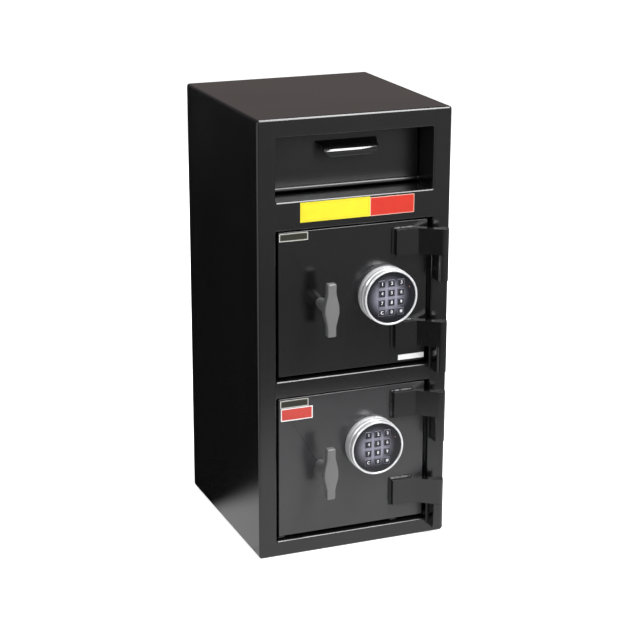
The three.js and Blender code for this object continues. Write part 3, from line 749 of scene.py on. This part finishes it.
for door in DOORS:
    keypad_ring(door)
    keypad_lamp(door)
    for key in KEYS:
        key_pad(door, key)
        key_figure(door, key)
print("keypads drawn, keys", len(DOORS) * len(KEYS))

# %% [markdown]
# ## The drawer's pull
#
# The pull is one bent sheet. Solidify on a curved strip would give its thickness, but
# not its round edges. So each ring goes round the sheet at one point of its middle line,
# which runs down from the drawer front, over a round fold and straight down.

# %% Drawer pull

PULL_SHEET, PULL_BEND, PULL_CORNER, SHEET_EDGE = 2.2, 13.0, 15.0, 0.9
PULL_SLOPE = math.radians(17)
LIP_SHARE = 0.89


def drawer_pull():
    """The middle line is a slope, an arc of the bend's radius and a drop.

    Its half width loses a circle's rise near the foot, so the lower corners are round.
    """
    low, high = box_mm("drawer_pull")
    front, root, bottom, top = low[1], high[1], low[2], high[2]
    middle_x, root_half = (low[0] + high[0]) / 2, (high[0] - low[0]) / 2
    meet_y = front + PULL_BEND * (1 - math.sin(PULL_SLOPE))
    meet_z = top - (root - meet_y) * math.tan(PULL_SLOPE)
    bend_y, bend_z = front + PULL_BEND, meet_z - PULL_BEND * math.cos(PULL_SLOPE)
    turn = np.linspace(math.pi / 2 + PULL_SLOPE, math.pi, 40)
    down = np.linspace(bend_z, bottom, 30)[1:]
    straight = np.full(len(down), front)
    y = np.concatenate([[root], bend_y + PULL_BEND * np.cos(turn), straight])
    z = np.concatenate([[top], bend_z + PULL_BEND * np.sin(turn), down])
    angle = np.concatenate([turn[:1], turn, np.full(len(down), math.pi)])
    half = np.full(len(y), LIP_SHARE * root_half)
    half[0] = root_half
    drop = np.clip(PULL_CORNER - (z - bottom), 0, PULL_CORNER)
    half -= PULL_CORNER - np.sqrt(PULL_CORNER**2 - drop**2)
    rings = []
    for y_at, z_at, a, h in zip(y, z, angle, half):
        flat = round_rectangle(h, PULL_SHEET / 2, SHEET_EDGE, 5)
        inwards = flat[:, 1] + PULL_SHEET / 2
        across = middle_x + flat[:, 0]
        ring = [across, y_at - inwards * math.cos(a), z_at - inwards * math.sin(a)]
        rings.append(np.stack(ring, -1))
    add_piece(
        "fine drawer pull", [loft(rings)], GLOSS, "drawer", 50, None,
        ["drawer_pull"],
    )


drawer_pull()
print("pull drawn, fold radius", PULL_BEND)

# %% [markdown]
# ## T handles
#
# A T handle is cast in one piece. Its bar has a flat front that widens in nearly
# straight lines to a short parallel stretch, and its neck spreads from a round foot to an
# oval under the bar. A subdivided cage could be pulled into this form by hand. A loft
# keeps the measured widths instead, since each section is worked out.

# %% T handle bars and necks

BAR_DEPTH = 15.0
BAR_END_HALF, BAR_MIDDLE_HALF = 8.0, 13.5
BULGE_START, BULGE_END = 0.12, 0.64
NECK_FOOT, NECK_ACROSS, NECK_UP, NECK_SINK_SHARE = 9.0, 12.6, 16.5, 0.6
FOOT_GAP = 0.4
END_ALONG = np.array([1.0, 0.996, 0.985, 0.965])
END_INSET = np.array([2.2, 1.1, 0.4, 0.1])


def handle_axis(door):
    """Across and up of the handle's axis, and the plane of its foot."""
    low, high = box_mm(f"{door}_t_handle")
    plate_low = box_mm(f"{door}_door_plate")[0]
    return low[0] + BAR_MIDDLE_HALF, (low[2] + high[2]) / 2, plate_low[1] - FOOT_GAP


def t_handle(door):
    """Bar: round rectangles whose half width follows a bulge. Neck: growing ovals."""
    low, high = box_mm(f"{door}_t_handle")
    bar_x, mid_z, foot = handle_axis(door)
    half_length, bar_front = (high[2] - low[2]) / 2, low[1]
    middle = np.linspace(-0.94, 0.94, 61)
    along = np.concatenate([-END_ALONG, middle, END_ALONG[::-1]])
    inset = np.concatenate([END_INSET, np.zeros(len(middle)), END_INSET[::-1]])
    bulge = np.clip((BULGE_END - np.abs(along)) / (BULGE_END - BULGE_START), 0, 1)
    bulge = bulge * bulge * (3 - 2 * bulge) * 0.25 + bulge * 0.75
    rings = []
    for t, shrink, swell in zip(along, inset, bulge):
        half_width = BAR_END_HALF + (BAR_MIDDLE_HALF - BAR_END_HALF) * swell - shrink
        half_depth = BAR_DEPTH / 2 * (0.93 + 0.07 * swell) - shrink
        flat = round_rectangle(half_width, half_depth, 2.0 if shrink < 1 else 1.2, 6)
        y = bar_front + BAR_DEPTH / 2 + flat[:, 1]
        z = np.full(len(flat), mid_z + t * half_length)
        rings.append(np.stack([bar_x + flat[:, 0], y, z], -1))
    neck_rings = []
    for t in np.linspace(0, 1, 18):
        y = foot + (bar_front + BAR_DEPTH * NECK_SINK_SHARE - foot) * t
        across = NECK_FOOT + (NECK_ACROSS - NECK_FOOT) * t
        up = NECK_FOOT + (NECK_UP - NECK_FOOT) * t**1.1
        neck_rings.append(facing_front(circle(1, 64) * (across, up), y, bar_x, mid_z))
    add_piece(
        f"{door} fine T handle", [loft(rings), loft(neck_rings)], SATIN, f"{door}_handle",
        35, None, [f"{door}_t_handle"],
    )


print("bar widens from", 2 * BAR_END_HALF, "to", 2 * BAR_MIDDLE_HALF)

# %% [markdown]
# Behind the door the handle's spindle carries a crank, whose pin pushes the bolts. A
# crank could be two discs and a bar joined by Booleans. Its outline is simply a belt
# round two circles, the hub's and the tip's, so it is drawn in one go. The belt leaves
# both circles at one angle from the arm, whose cosine is the difference of their radii
# over the distance between their middles.

# %% Spindles and cranks

SPINDLE = 8.0
CRANK_FRONT, CRANK_BACK, CRANK_EDGE = 15.0, 20.0, 0.4
CRANK_ARM, CRANK_TURN = 22, math.radians(30)
HUB, TIP, PIN, PIN_END = 10, 6, 3, 2.5


def spindle_and_crank(door):
    """Circles along the axis, a belt round hub and tip, and circles for the pin."""
    high = box_mm(f"{door}_t_handle")[1]
    plate_back = box_mm(f"{door}_door_plate")[1][1]
    bar_x, mid_z, foot = handle_axis(door)
    crank_front, crank_back = plate_back + CRANK_FRONT, plate_back + CRANK_BACK
    spindle = loft([
        facing_front(circle(SPINDLE, 48), y, bar_x, mid_z)
        for y in (foot + 2, crank_front, crank_back)
    ])
    arm = CRANK_ARM * np.array([math.sin(CRANK_TURN), math.cos(CRANK_TURN)])
    heading = math.pi / 2 - CRANK_TURN
    spread = math.acos((HUB - TIP) / CRANK_ARM)
    round_hub = np.linspace(heading + spread, heading - spread + 2 * math.pi, 24)
    round_tip = np.linspace(heading - spread, heading + spread, 14)
    outline = np.concatenate([
        HUB * np.stack([np.cos(round_hub), np.sin(round_hub)], -1),
        arm + TIP * np.stack([np.cos(round_tip), np.sin(round_tip)], -1),
    ])
    crank = loft([
        facing_front(outline * share, y, bar_x, mid_z)
        for share, y in (
            (0.97, crank_front), (1, crank_front + CRANK_EDGE),
            (1, crank_back - CRANK_EDGE), (0.97, crank_back),
        )
    ])
    pin = loft([
        facing_front(circle(radius, 32), y, bar_x + arm[0], mid_z + arm[1])
        for radius, y in ((PIN, crank_back - 4), (PIN, high[1] - 0.5), (PIN_END, high[1]))
    ])
    add_piece(
        f"{door} spindle and crank", [spindle, crank, pin], ZINC, f"{door}_handle",
        35,
    )


for door in DOORS:
    t_handle(door)
    spindle_and_crank(door)
print("handles drawn")

# %% [markdown]
# ## Welds
#
# A fillet weld runs round three sides of each hinge arm on the door, and round two sides
# of each frame knuckle. A curve with a bevel object could follow these sides, but it
# pinches at square corners. So the path is worked out first: along each side, and fanned
# round each corner, where the outward direction turns a quarter of a circle.

# %% Weld paths

BEAD_STEP = 0.7


def bead_path(corners, leg):
    """Points, outward normals and run along a path of x and z, fanned at its corners.

    On a side the point is its start plus its length times a share. Round a corner the
    normal is the cosine of the old one plus the sine of the new one.
    """
    corners = np.array(corners, float)
    legs = np.diff(corners, axis=0)
    lengths = np.hypot(legs[:, 0], legs[:, 1])
    ways = legs / lengths[:, None]
    outward = np.stack([-ways[:, 1], ways[:, 0]], -1)
    base, normal, run = [], [], []
    travelled = 0.0
    for k in range(len(legs)):
        count = max(2, int(lengths[k] / BEAD_STEP))
        t = np.linspace(0, 1, count)[:, None]
        base.append(corners[k] + legs[k] * t)
        normal.append(np.repeat(outward[k][None], count, 0))
        run.append(travelled + lengths[k] * t[:, 0])
        travelled += lengths[k]
        if k + 1 < len(legs):
            turn = np.linspace(0, 1, 9)[1:-1, None]
            between = outward[k] * np.cos(turn * math.pi / 2)
            between = between + outward[k + 1] * np.sin(turn * math.pi / 2)
            base.append(np.repeat(corners[k + 1][None], len(between), 0))
            normal.append(between)
            run.append(travelled + turn[:, 0] * leg)
            travelled += leg
    base, normal, run = map(np.concatenate, (base, normal, run))
    return base, normal, run, travelled


print("points along a bead are", BEAD_STEP, "mm apart")

# %% [markdown]
# A bead of one size would look machined. A welded bead ripples as its pool moves on and
# varies with the hand, so the section's size rises and falls along the path. Each bead
# has a seed of its own, so that no two wander alike.

# %% Weld beads

RIPPLE_LENGTH, WANDER_STEP = 2.4, 4
ARM_LEG, KNUCKLE_LEG = 4.2, 2.6
ARM_RUN, KNUCKLE_RUN = 42, 48.0
BEAD_SECTION = np.array([
    (-0.05, -0.05), (-0.05, 0.98), (0.08, 1.0), (0.3, 0.86), (0.52, 0.66),
    (0.74, 0.42), (0.92, 0.18), (1.0, 0.04), (0.98, -0.05),
])


def weld_bead(name, corners, plane, leg, body, seed):
    """A fillet with the piece on the path's right.

    It is the section, outwards and off the plane, times a size that ripples by a sine
    and wanders at random.
    """
    base, normal, run, travelled = bead_path(corners, leg)
    rng = np.random.default_rng(seed)
    stations = np.arange(0, travelled + 2 * WANDER_STEP, WANDER_STEP)
    draws = rng.uniform(-1, 1, int(travelled / WANDER_STEP) + 3)[: len(stations)]
    wander = np.interp(run, stations, draws)
    ripple = 0.05 * np.abs(np.sin(run * math.pi / RIPPLE_LENGTH)) + 0.07 * wander
    ends = np.clip(np.minimum(run, travelled - run) / 2.0, 0.25, 1.0)
    size = leg * (0.93 + ripple) * np.sqrt(ends)
    out = size[:, None] * BEAD_SECTION[:, 0]
    x = base[:, :1] + normal[:, :1] * out
    y = plane - size[:, None] * BEAD_SECTION[:, 1]
    z = base[:, 1:] + normal[:, 1:] * out
    rings = np.stack([x, y, z], -1)
    add_piece(name, [loft(rings)], WELD, body, 60)


for number, door in enumerate(DOORS):
    plate_front = box_mm(f"{door}_door_plate")[0][1]
    frame_front = box_mm("front_frame")[0][1]
    for end in ("top", "bottom"):
        low, high = box_mm(f"{door}_{end}_hinge_arm")
        right = low[0] + ARM_RUN
        path = [(right, low[2]), (low[0], low[2]), (low[0], high[2]), (right, high[2])]
        seed = 10 * number + len(end)
        name = f"{door} {end} arm weld"
        weld_bead(name, path, plate_front, ARM_LEG, f"{door}_door", seed)
        low, high = box_mm(f"{door}_{end}_frame_knuckle")
        path = [(high[0], low[2]), (low[0], low[2]), (low[0], low[2] + KNUCKLE_RUN)]
        name = f"{door} {end} knuckle weld"
        weld_bead(name, path, frame_front, KNUCKLE_LEG, "cabinet", 30 + seed)
print("welds drawn")

# %% [markdown]
# ## Labels
#
# A yellow label and a red one share the rail under the deposit window. Each door has a
# small dark plate with a silver rim, and there are a red and a white sticker. They could
# be painted on the sheet below, but as thin sheets with round corners they catch light
# at their edges and can be taken off.

# %% Labels and plates

LABEL, ROUND_LABEL, PLATE = (0.25, 0.6), (0.25, 0.8), (0.6, 0.8)
YELLOW = ("yellow label", (0.8, 0.7, 0.014), 0.45, [(3.0, 0.28, (0.62, 0.45, 0.02))])
RED = (
    "red label", (0.6, 0.024, 0.009), 0.45,
    [(0.4, 0.45, (0.85, 0.55, 0.45)), (3.6, 0.2, (0.6, 0.03, 0.02))],
)
DARK_PLATE = (
    "dark plate", (0.03, 0.032, 0.02), 0.35,
    [(0.5, 0.6, (0.72, 0.71, 0.66)), (1.9, 0.2, (0.3, 0.3, 0.27))],
)
STICKER = ("red sticker", (0.6, 0.06, 0.045), 0.5, [(0.9, 1.0, (0.86, 0.85, 0.84))])
PAPER = ("white sticker", (0.93, 0.93, 0.93), 0.6, [(0.4, 0.15, (0.6, 0.6, 0.6))])


def label(name, across, up, plane, sheet, body, finish):
    """Round rectangles off the plane. The last one shrinks to round the front edge.

    A sheet is its thickness and corner radius. A finish is what printed_material takes.
    """
    thick, radius = sheet
    half = ((across[1] - across[0]) / 2, (up[1] - up[0]) / 2)
    x, z = (across[0] + across[1]) / 2, (up[0] + up[1]) / 2
    rings = []
    for shrink, rise in ((0, 0.02), (0, 0.75 * thick), (0.25 * thick, thick)):
        flat = round_rectangle(half[0] - shrink, half[1] - shrink, radius, 5)
        rings.append(facing_front(flat, plane - rise, x, z))
    material = printed_material(*finish, half)
    add_piece(
        name, [loft(rings)], material, body, 35, (x, plane, z)
    )


rail = box_mm("front_frame")[0][1]
upper = box_mm("upper_door_plate")[0][1]
lower = box_mm("lower_door_plate")[0][1]
label("yellow label", (-104.7, 27.5), (627, 662.5), rail, LABEL, "cabinet", YELLOW)
label("red label", (27.9, 113), (627, 660.5), rail, LABEL, "cabinet", RED)
label("upper door plate", (-141.5, -87.5), (593.6, 608), upper, PLATE, "upper_door", DARK_PLATE)
label("lower door plate", (-140.5, -86.5), (284.5, 299), lower, PLATE, "lower_door", DARK_PLATE)
label("red sticker", (-139.5, -78), (259.5, 283.5), lower, ROUND_LABEL, "lower_door", STICKER)
label("white sticker", (89.5, 141), (348.5, 358.5), upper, LABEL, "upper_door", PAPER)
print("labels drawn")

# %% [markdown]
# ## Screws
#
# Round-head screws with a hexagon socket hold the lock cases and the dead bars. They show
# when a door stands open. A socket could be cut with a Boolean, but sinking the last
# rings of the same skin into the head gives a cleaner mesh.

# %% Screws

CASE_SCREW, CASE_INSET, LOCK_NOSE = 4.2, 8, 3
BAR_SCREW, BAR_SHIFT, BAR_STEP = 5.0, 6, 70
SCREW_SINK = 0.05


def screw(centre, radius):
    """Circles over a dome, then hexagons sunk in its top. It points backwards.

    A hexagon's radius is the cosine of 30 degrees over that of the angle from the
    middle of the nearest flat.
    """
    x, y, z = centre
    tall = radius * 0.6
    dome = [(1.0, 0.0), (1.0, 0.35), (0.93, 0.68), (0.75, 0.92), (0.5, 1.0)]
    rings = [facing_front(circle(radius * r, 40), y + h * tall, x, z) for r, h in dome]
    angle = np.linspace(0, 2 * math.pi, 40, endpoint=False)
    hexagon = math.cos(math.pi / 6) / np.cos((angle % (math.pi / 3)) - math.pi / 6)
    for share, depth in ((0.5, 1.0), (0.5, 0.45), (0.1, 0.4)):
        flat = circle(1, 40) * (hexagon * radius * share)[:, None]
        rings.append(facing_front(flat, y + depth * tall, x, z))
    return loft(rings)


for door in DOORS:
    low, high = box_mm(f"{door}_lock_case")
    half = (high[0] - low[0] - LOCK_NOSE) / 2
    cx, cz = high[0] - half, (low[2] + high[2]) / 2
    aside, above = half - CASE_INSET, high[2] - cz - CASE_INSET
    back = high[1] - SCREW_SINK
    heads = [
        screw((cx + sx * aside, back, cz + sz * above), CASE_SCREW)
        for sx in (-1, 1) for sz in (-1, 1)
    ]
    low, high = box_mm(f"{door}_dead_bar")
    cx, cz = (low[0] + high[0]) / 2 - BAR_SHIFT, (low[2] + high[2]) / 2
    back = high[1] - SCREW_SINK
    heads += [screw((cx, back, cz + k * BAR_STEP), BAR_SCREW) for k in (-1, 0, 1)]
    add_piece(f"{door} screws", heads, ZINC, f"{door}_door", 40)
print("screws drawn")

# %% [markdown]
# ## Camera
#
# The camera stands to the left of the safe and above it, as in the photograph. Its place
# and its three axes were fitted to the corners of the frame, the doors and the hinges, so
# they are given as numbers. Aiming it by eye would leave every piece a little off.

# %% Camera

camera_data = bpy.data.cameras.new("camera")
camera_data.sensor_width = 36.0
camera_data.lens = 103.16
camera = bpy.data.objects.new("camera", camera_data)
right = Vector((0.927239, -0.374459, 0.002848))
up = Vector((0.109654, 0.278784, 0.954073))
back = Vector((-0.358055, -0.884342, 0.299560))
turn = Matrix((right, up, back)).transposed()
camera.matrix_world = Matrix.Translation((-1.23390, -3.07233, 1.42167)) @ turn.to_4x4()
bpy.context.scene.collection.objects.link(camera)
bpy.context.scene.camera = camera
print("camera lens", camera_data.lens)

# %% [markdown]
# ## Floor
#
# The safe stands on a plain white floor. A studio sweep that curves up behind it would
# hide the horizon, but a flat sheet that is large enough does the same with one face.

# %% Floor sheet

REACH = 30.0
floor_mesh = bpy.data.meshes.new("floor")
floor_mesh.from_pydata(
    [(-REACH, -REACH, 0), (REACH, -REACH, 0), (REACH, REACH, 0), (-REACH, REACH, 0)],
    [], [(0, 1, 2, 3)],
)
floor = bpy.data.objects.new("floor", floor_mesh)
bpy.context.scene.collection.objects.link(floor)
print("floor side in metres", 2 * REACH)

# %% [markdown]
# A gloss black cabinet is coloured by what it mirrors, so a floor that is white all over
# would turn it grey. A studio lays out dark cloths and pale boards for this. Cloths of
# mesh would throw shadows and show in the picture, so the tones are worked out in the
# floor's colour instead: a bright lane in front that the doors mirror, a pale left, a
# dark strip behind for the left side and one to the left for the kinked hinge arms.

# %% Tones that mirrors see

FORWARD, REARWARD = (0.37, -0.93, 0), (-0.37, 0.93, 0)
ACROSS_VIEW, LEFTWARD = (0.93, 0.37, 0), (-0.98, -0.2, 0)
ARM_ACROSS, ARM_ALONG = (-0.667, 0.745, 0), (-0.745, -0.667, 0)


def map_range(tree, value, low, high, to_low, to_high):
    """One value at low, another at high, and a smooth step between them."""
    node = tree.nodes.new("ShaderNodeMapRange")
    node.interpolation_type = "SMOOTHSTEP"
    limits = {"From Min": low, "From Max": high, "To Min": to_low, "To Max": to_high}
    for label_text, limit in limits.items():
        node.inputs[label_text].default_value = limit
    tree.links.new(value, node.inputs["Value"])
    return node.outputs[0]


def towards(tree, vector, direction):
    """How far a vector reaches in a direction."""
    return vector_node(tree, "DOT_PRODUCT", vector, direction, result="Value")


def strip(tree, where, across, offset, inner, outer, strength):
    """Full strength within the inner distance of a line, none past the outer one."""
    distance = math_node(tree, "ADD", towards(tree, where, across), offset)
    distance = math_node(tree, "ABSOLUTE", distance)
    return map_range(tree, distance, inner, outer, strength, 0)


def mirrored_tone(tree, where, length):
    """The grey that gloss rays see: front lane, left and rear, less the arms' strip."""
    unit = vector_node(tree, "NORMALIZE", where)
    lane = map_range(tree, towards(tree, where, ACROSS_VIEW), -0.75, -0.42, 0, 1)
    in_front = map_range(tree, towards(tree, unit, FORWARD), 0.0, 0.4, 0, 1)
    in_front = math_node(tree, "MULTIPLY", in_front, lane)
    near = map_range(tree, length, 0.55, 1.2, 0.91, 0.24)
    far = map_range(tree, length, 1.8, 2.6, 0, 0.1)
    front = math_node(tree, "MULTIPLY", in_front, math_node(tree, "ADD", near, far))
    left = map_range(tree, towards(tree, unit, LEFTWARD), 0.75, 0.95, 0, 0.8)
    rearward = towards(tree, unit, REARWARD)
    plain = map_range(tree, rearward, -0.3, 0.3, 0.2, 0.25)
    side_strip = strip(tree, where, ACROSS_VIEW, 0.17, 0.5, 1.0, 1)
    dark = map_range(tree, rearward, 0.2, 0.6, 0, 0.24)
    dark = math_node(tree, "MULTIPLY", dark, side_strip)
    behind = math_node(tree, "SUBTRACT", plain, dark)
    tone = math_node(tree, "MAXIMUM", math_node(tree, "MAXIMUM", front, behind), left)
    arm_strip = strip(tree, where, ARM_ACROSS, 0.248, 0.2, 0.5, 0.95)
    along = map_range(tree, towards(tree, where, ARM_ALONG), 0.7, 1.2, 0, 1)
    shaded = math_node(tree, "MULTIPLY", arm_strip, along)
    return math_node(tree, "MULTIPLY", tone, math_node(tree, "SUBTRACT", 1.0, shaded))


print("the bright lane runs along", FORWARD[:2])

# %% [markdown]
# The floor needs two faces: one for the camera and one for mirrors. Two floors, each
# hidden from some rays, would do it, but a Light Path node chooses in one material.
# Camera rays see white, gloss rays see the tones, and all other rays see plain pale
# paint, so that the safe keeps its shadow.

# %% Floor material


def floor_material():
    """White for camera rays, the mirrored tone for gloss rays, and paint for the rest."""
    material, tree, shader = new_material("floor")
    where = object_place(tree)
    length = vector_node(tree, "LENGTH", where, result="Value")
    tone = mirrored_tone(tree, where, length)
    grey = tree.nodes.new("ShaderNodeCombineColor")
    for socket in grey.inputs[:3]:
        tree.links.new(tone, socket)
    path = tree.nodes.new("ShaderNodeLightPath")
    is_camera, is_glossy = path.outputs["Is Camera Ray"], path.outputs["Is Glossy Ray"]
    black = (0, 0, 0, 1)
    away = map_range(tree, length, 1.5, 5.0, 0, 1)
    white = mix_colour(tree, away, (0.75, 0.75, 0.75, 1), (1, 1, 1, 1))
    mirrored = mix_colour(tree, is_glossy, black, grey.outputs[0])
    shining = mix_colour(tree, is_camera, mirrored, white)
    base = mix_colour(tree, is_glossy, (0.8, 0.8, 0.8, 1), black)
    tree.links.new(shining, shader.inputs["Emission Color"])
    shader.inputs["Emission Strength"].default_value = 1.0
    tree.links.new(base, shader.inputs["Base Color"])
    shader.inputs["Roughness"].default_value = 1.0
    shader.inputs["Specular IOR Level"].default_value = 0.0
    return material


floor_mesh.materials.append(floor_material())
print("floor laid")

# %% [markdown]
# ## Lights and room
#
# One lamp would leave the shaded faces without form, so there are four soft ones. A tall
# window on the right lights the front and draws bright lines on the edges. An overhead
# bank lights what looks up, and a fill on the left softens the shadows. The back light is
# kept out of mirrors, because the top and the sides would show it as a glare from some
# angles.

# %% Lights


def area_light(name, place, target, size, watts):
    """A flat lamp at a place, turned so that it shines at the target."""
    data = bpy.data.lights.new(name, "AREA")
    data.shape = "RECTANGLE"
    data.size, data.size_y = size
    data.energy = watts
    lamp = bpy.data.objects.new(name, data)
    lamp.location = place
    aim = Vector(target) - Vector(place)
    lamp.rotation_mode = "QUATERNION"
    lamp.rotation_quaternion = aim.to_track_quat("-Z", "Y")
    bpy.context.scene.collection.objects.link(lamp)
    return lamp


area_light("tall window", (0.93, -1.65, 2.3), (0.93, -0.3, 0.8), (0.9, 3.2), 100)
area_light("overhead", (0.2, -0.9, 2.6), (0, -0.25, 0.5), (3.6, 0.9), 20)
area_light("left fill", (-1.9, -2.0, 2.0), (0, 0, 0.5), (0.9, 0.9), 22)
back_light = area_light("back light", (0.0, 2.8, 1.5), (0, 0.2, 0.45), (1.2, 1.2), 110)
back_light.visible_glossy = False
print("lights hung")

# %% [markdown]
# The room round the safe shows in its coat wherever the floor doesn't. A picture of a
# room could light it, but two plain colours are enough: the room is dim, a little warm
# where the top mirrors it, and white to the camera alone.

# %% Room

MIRRORED_BY_TOP = (0.36, 0.88, 0.31)
world = bpy.data.worlds.new("studio")
bpy.context.scene.world = world
world.use_nodes = True
tree = world.node_tree
tree.nodes.clear()
shown = tree.nodes.new("ShaderNodeBackground")
end = tree.nodes.new("ShaderNodeOutputWorld")
direction = tree.nodes.new("ShaderNodeTexCoord").outputs["Generated"]
warm_side = towards(tree, direction, MIRRORED_BY_TOP)
warm_side = map_range(tree, warm_side, 0.75, 0.98, 0, 1)
room = mix_colour(tree, warm_side, (0.08, 0.08, 0.084, 1), (0.21, 0.184, 0.175, 1))
path = tree.nodes.new("ShaderNodeLightPath")
seen = mix_colour(tree, path.outputs["Is Camera Ray"], room, (1, 1, 1, 1))
tree.links.new(seen, shown.inputs["Color"])
tree.links.new(shown.outputs[0], end.inputs[0])
bpy.context.scene.view_settings.view_transform = "Standard"
print("studio ready")
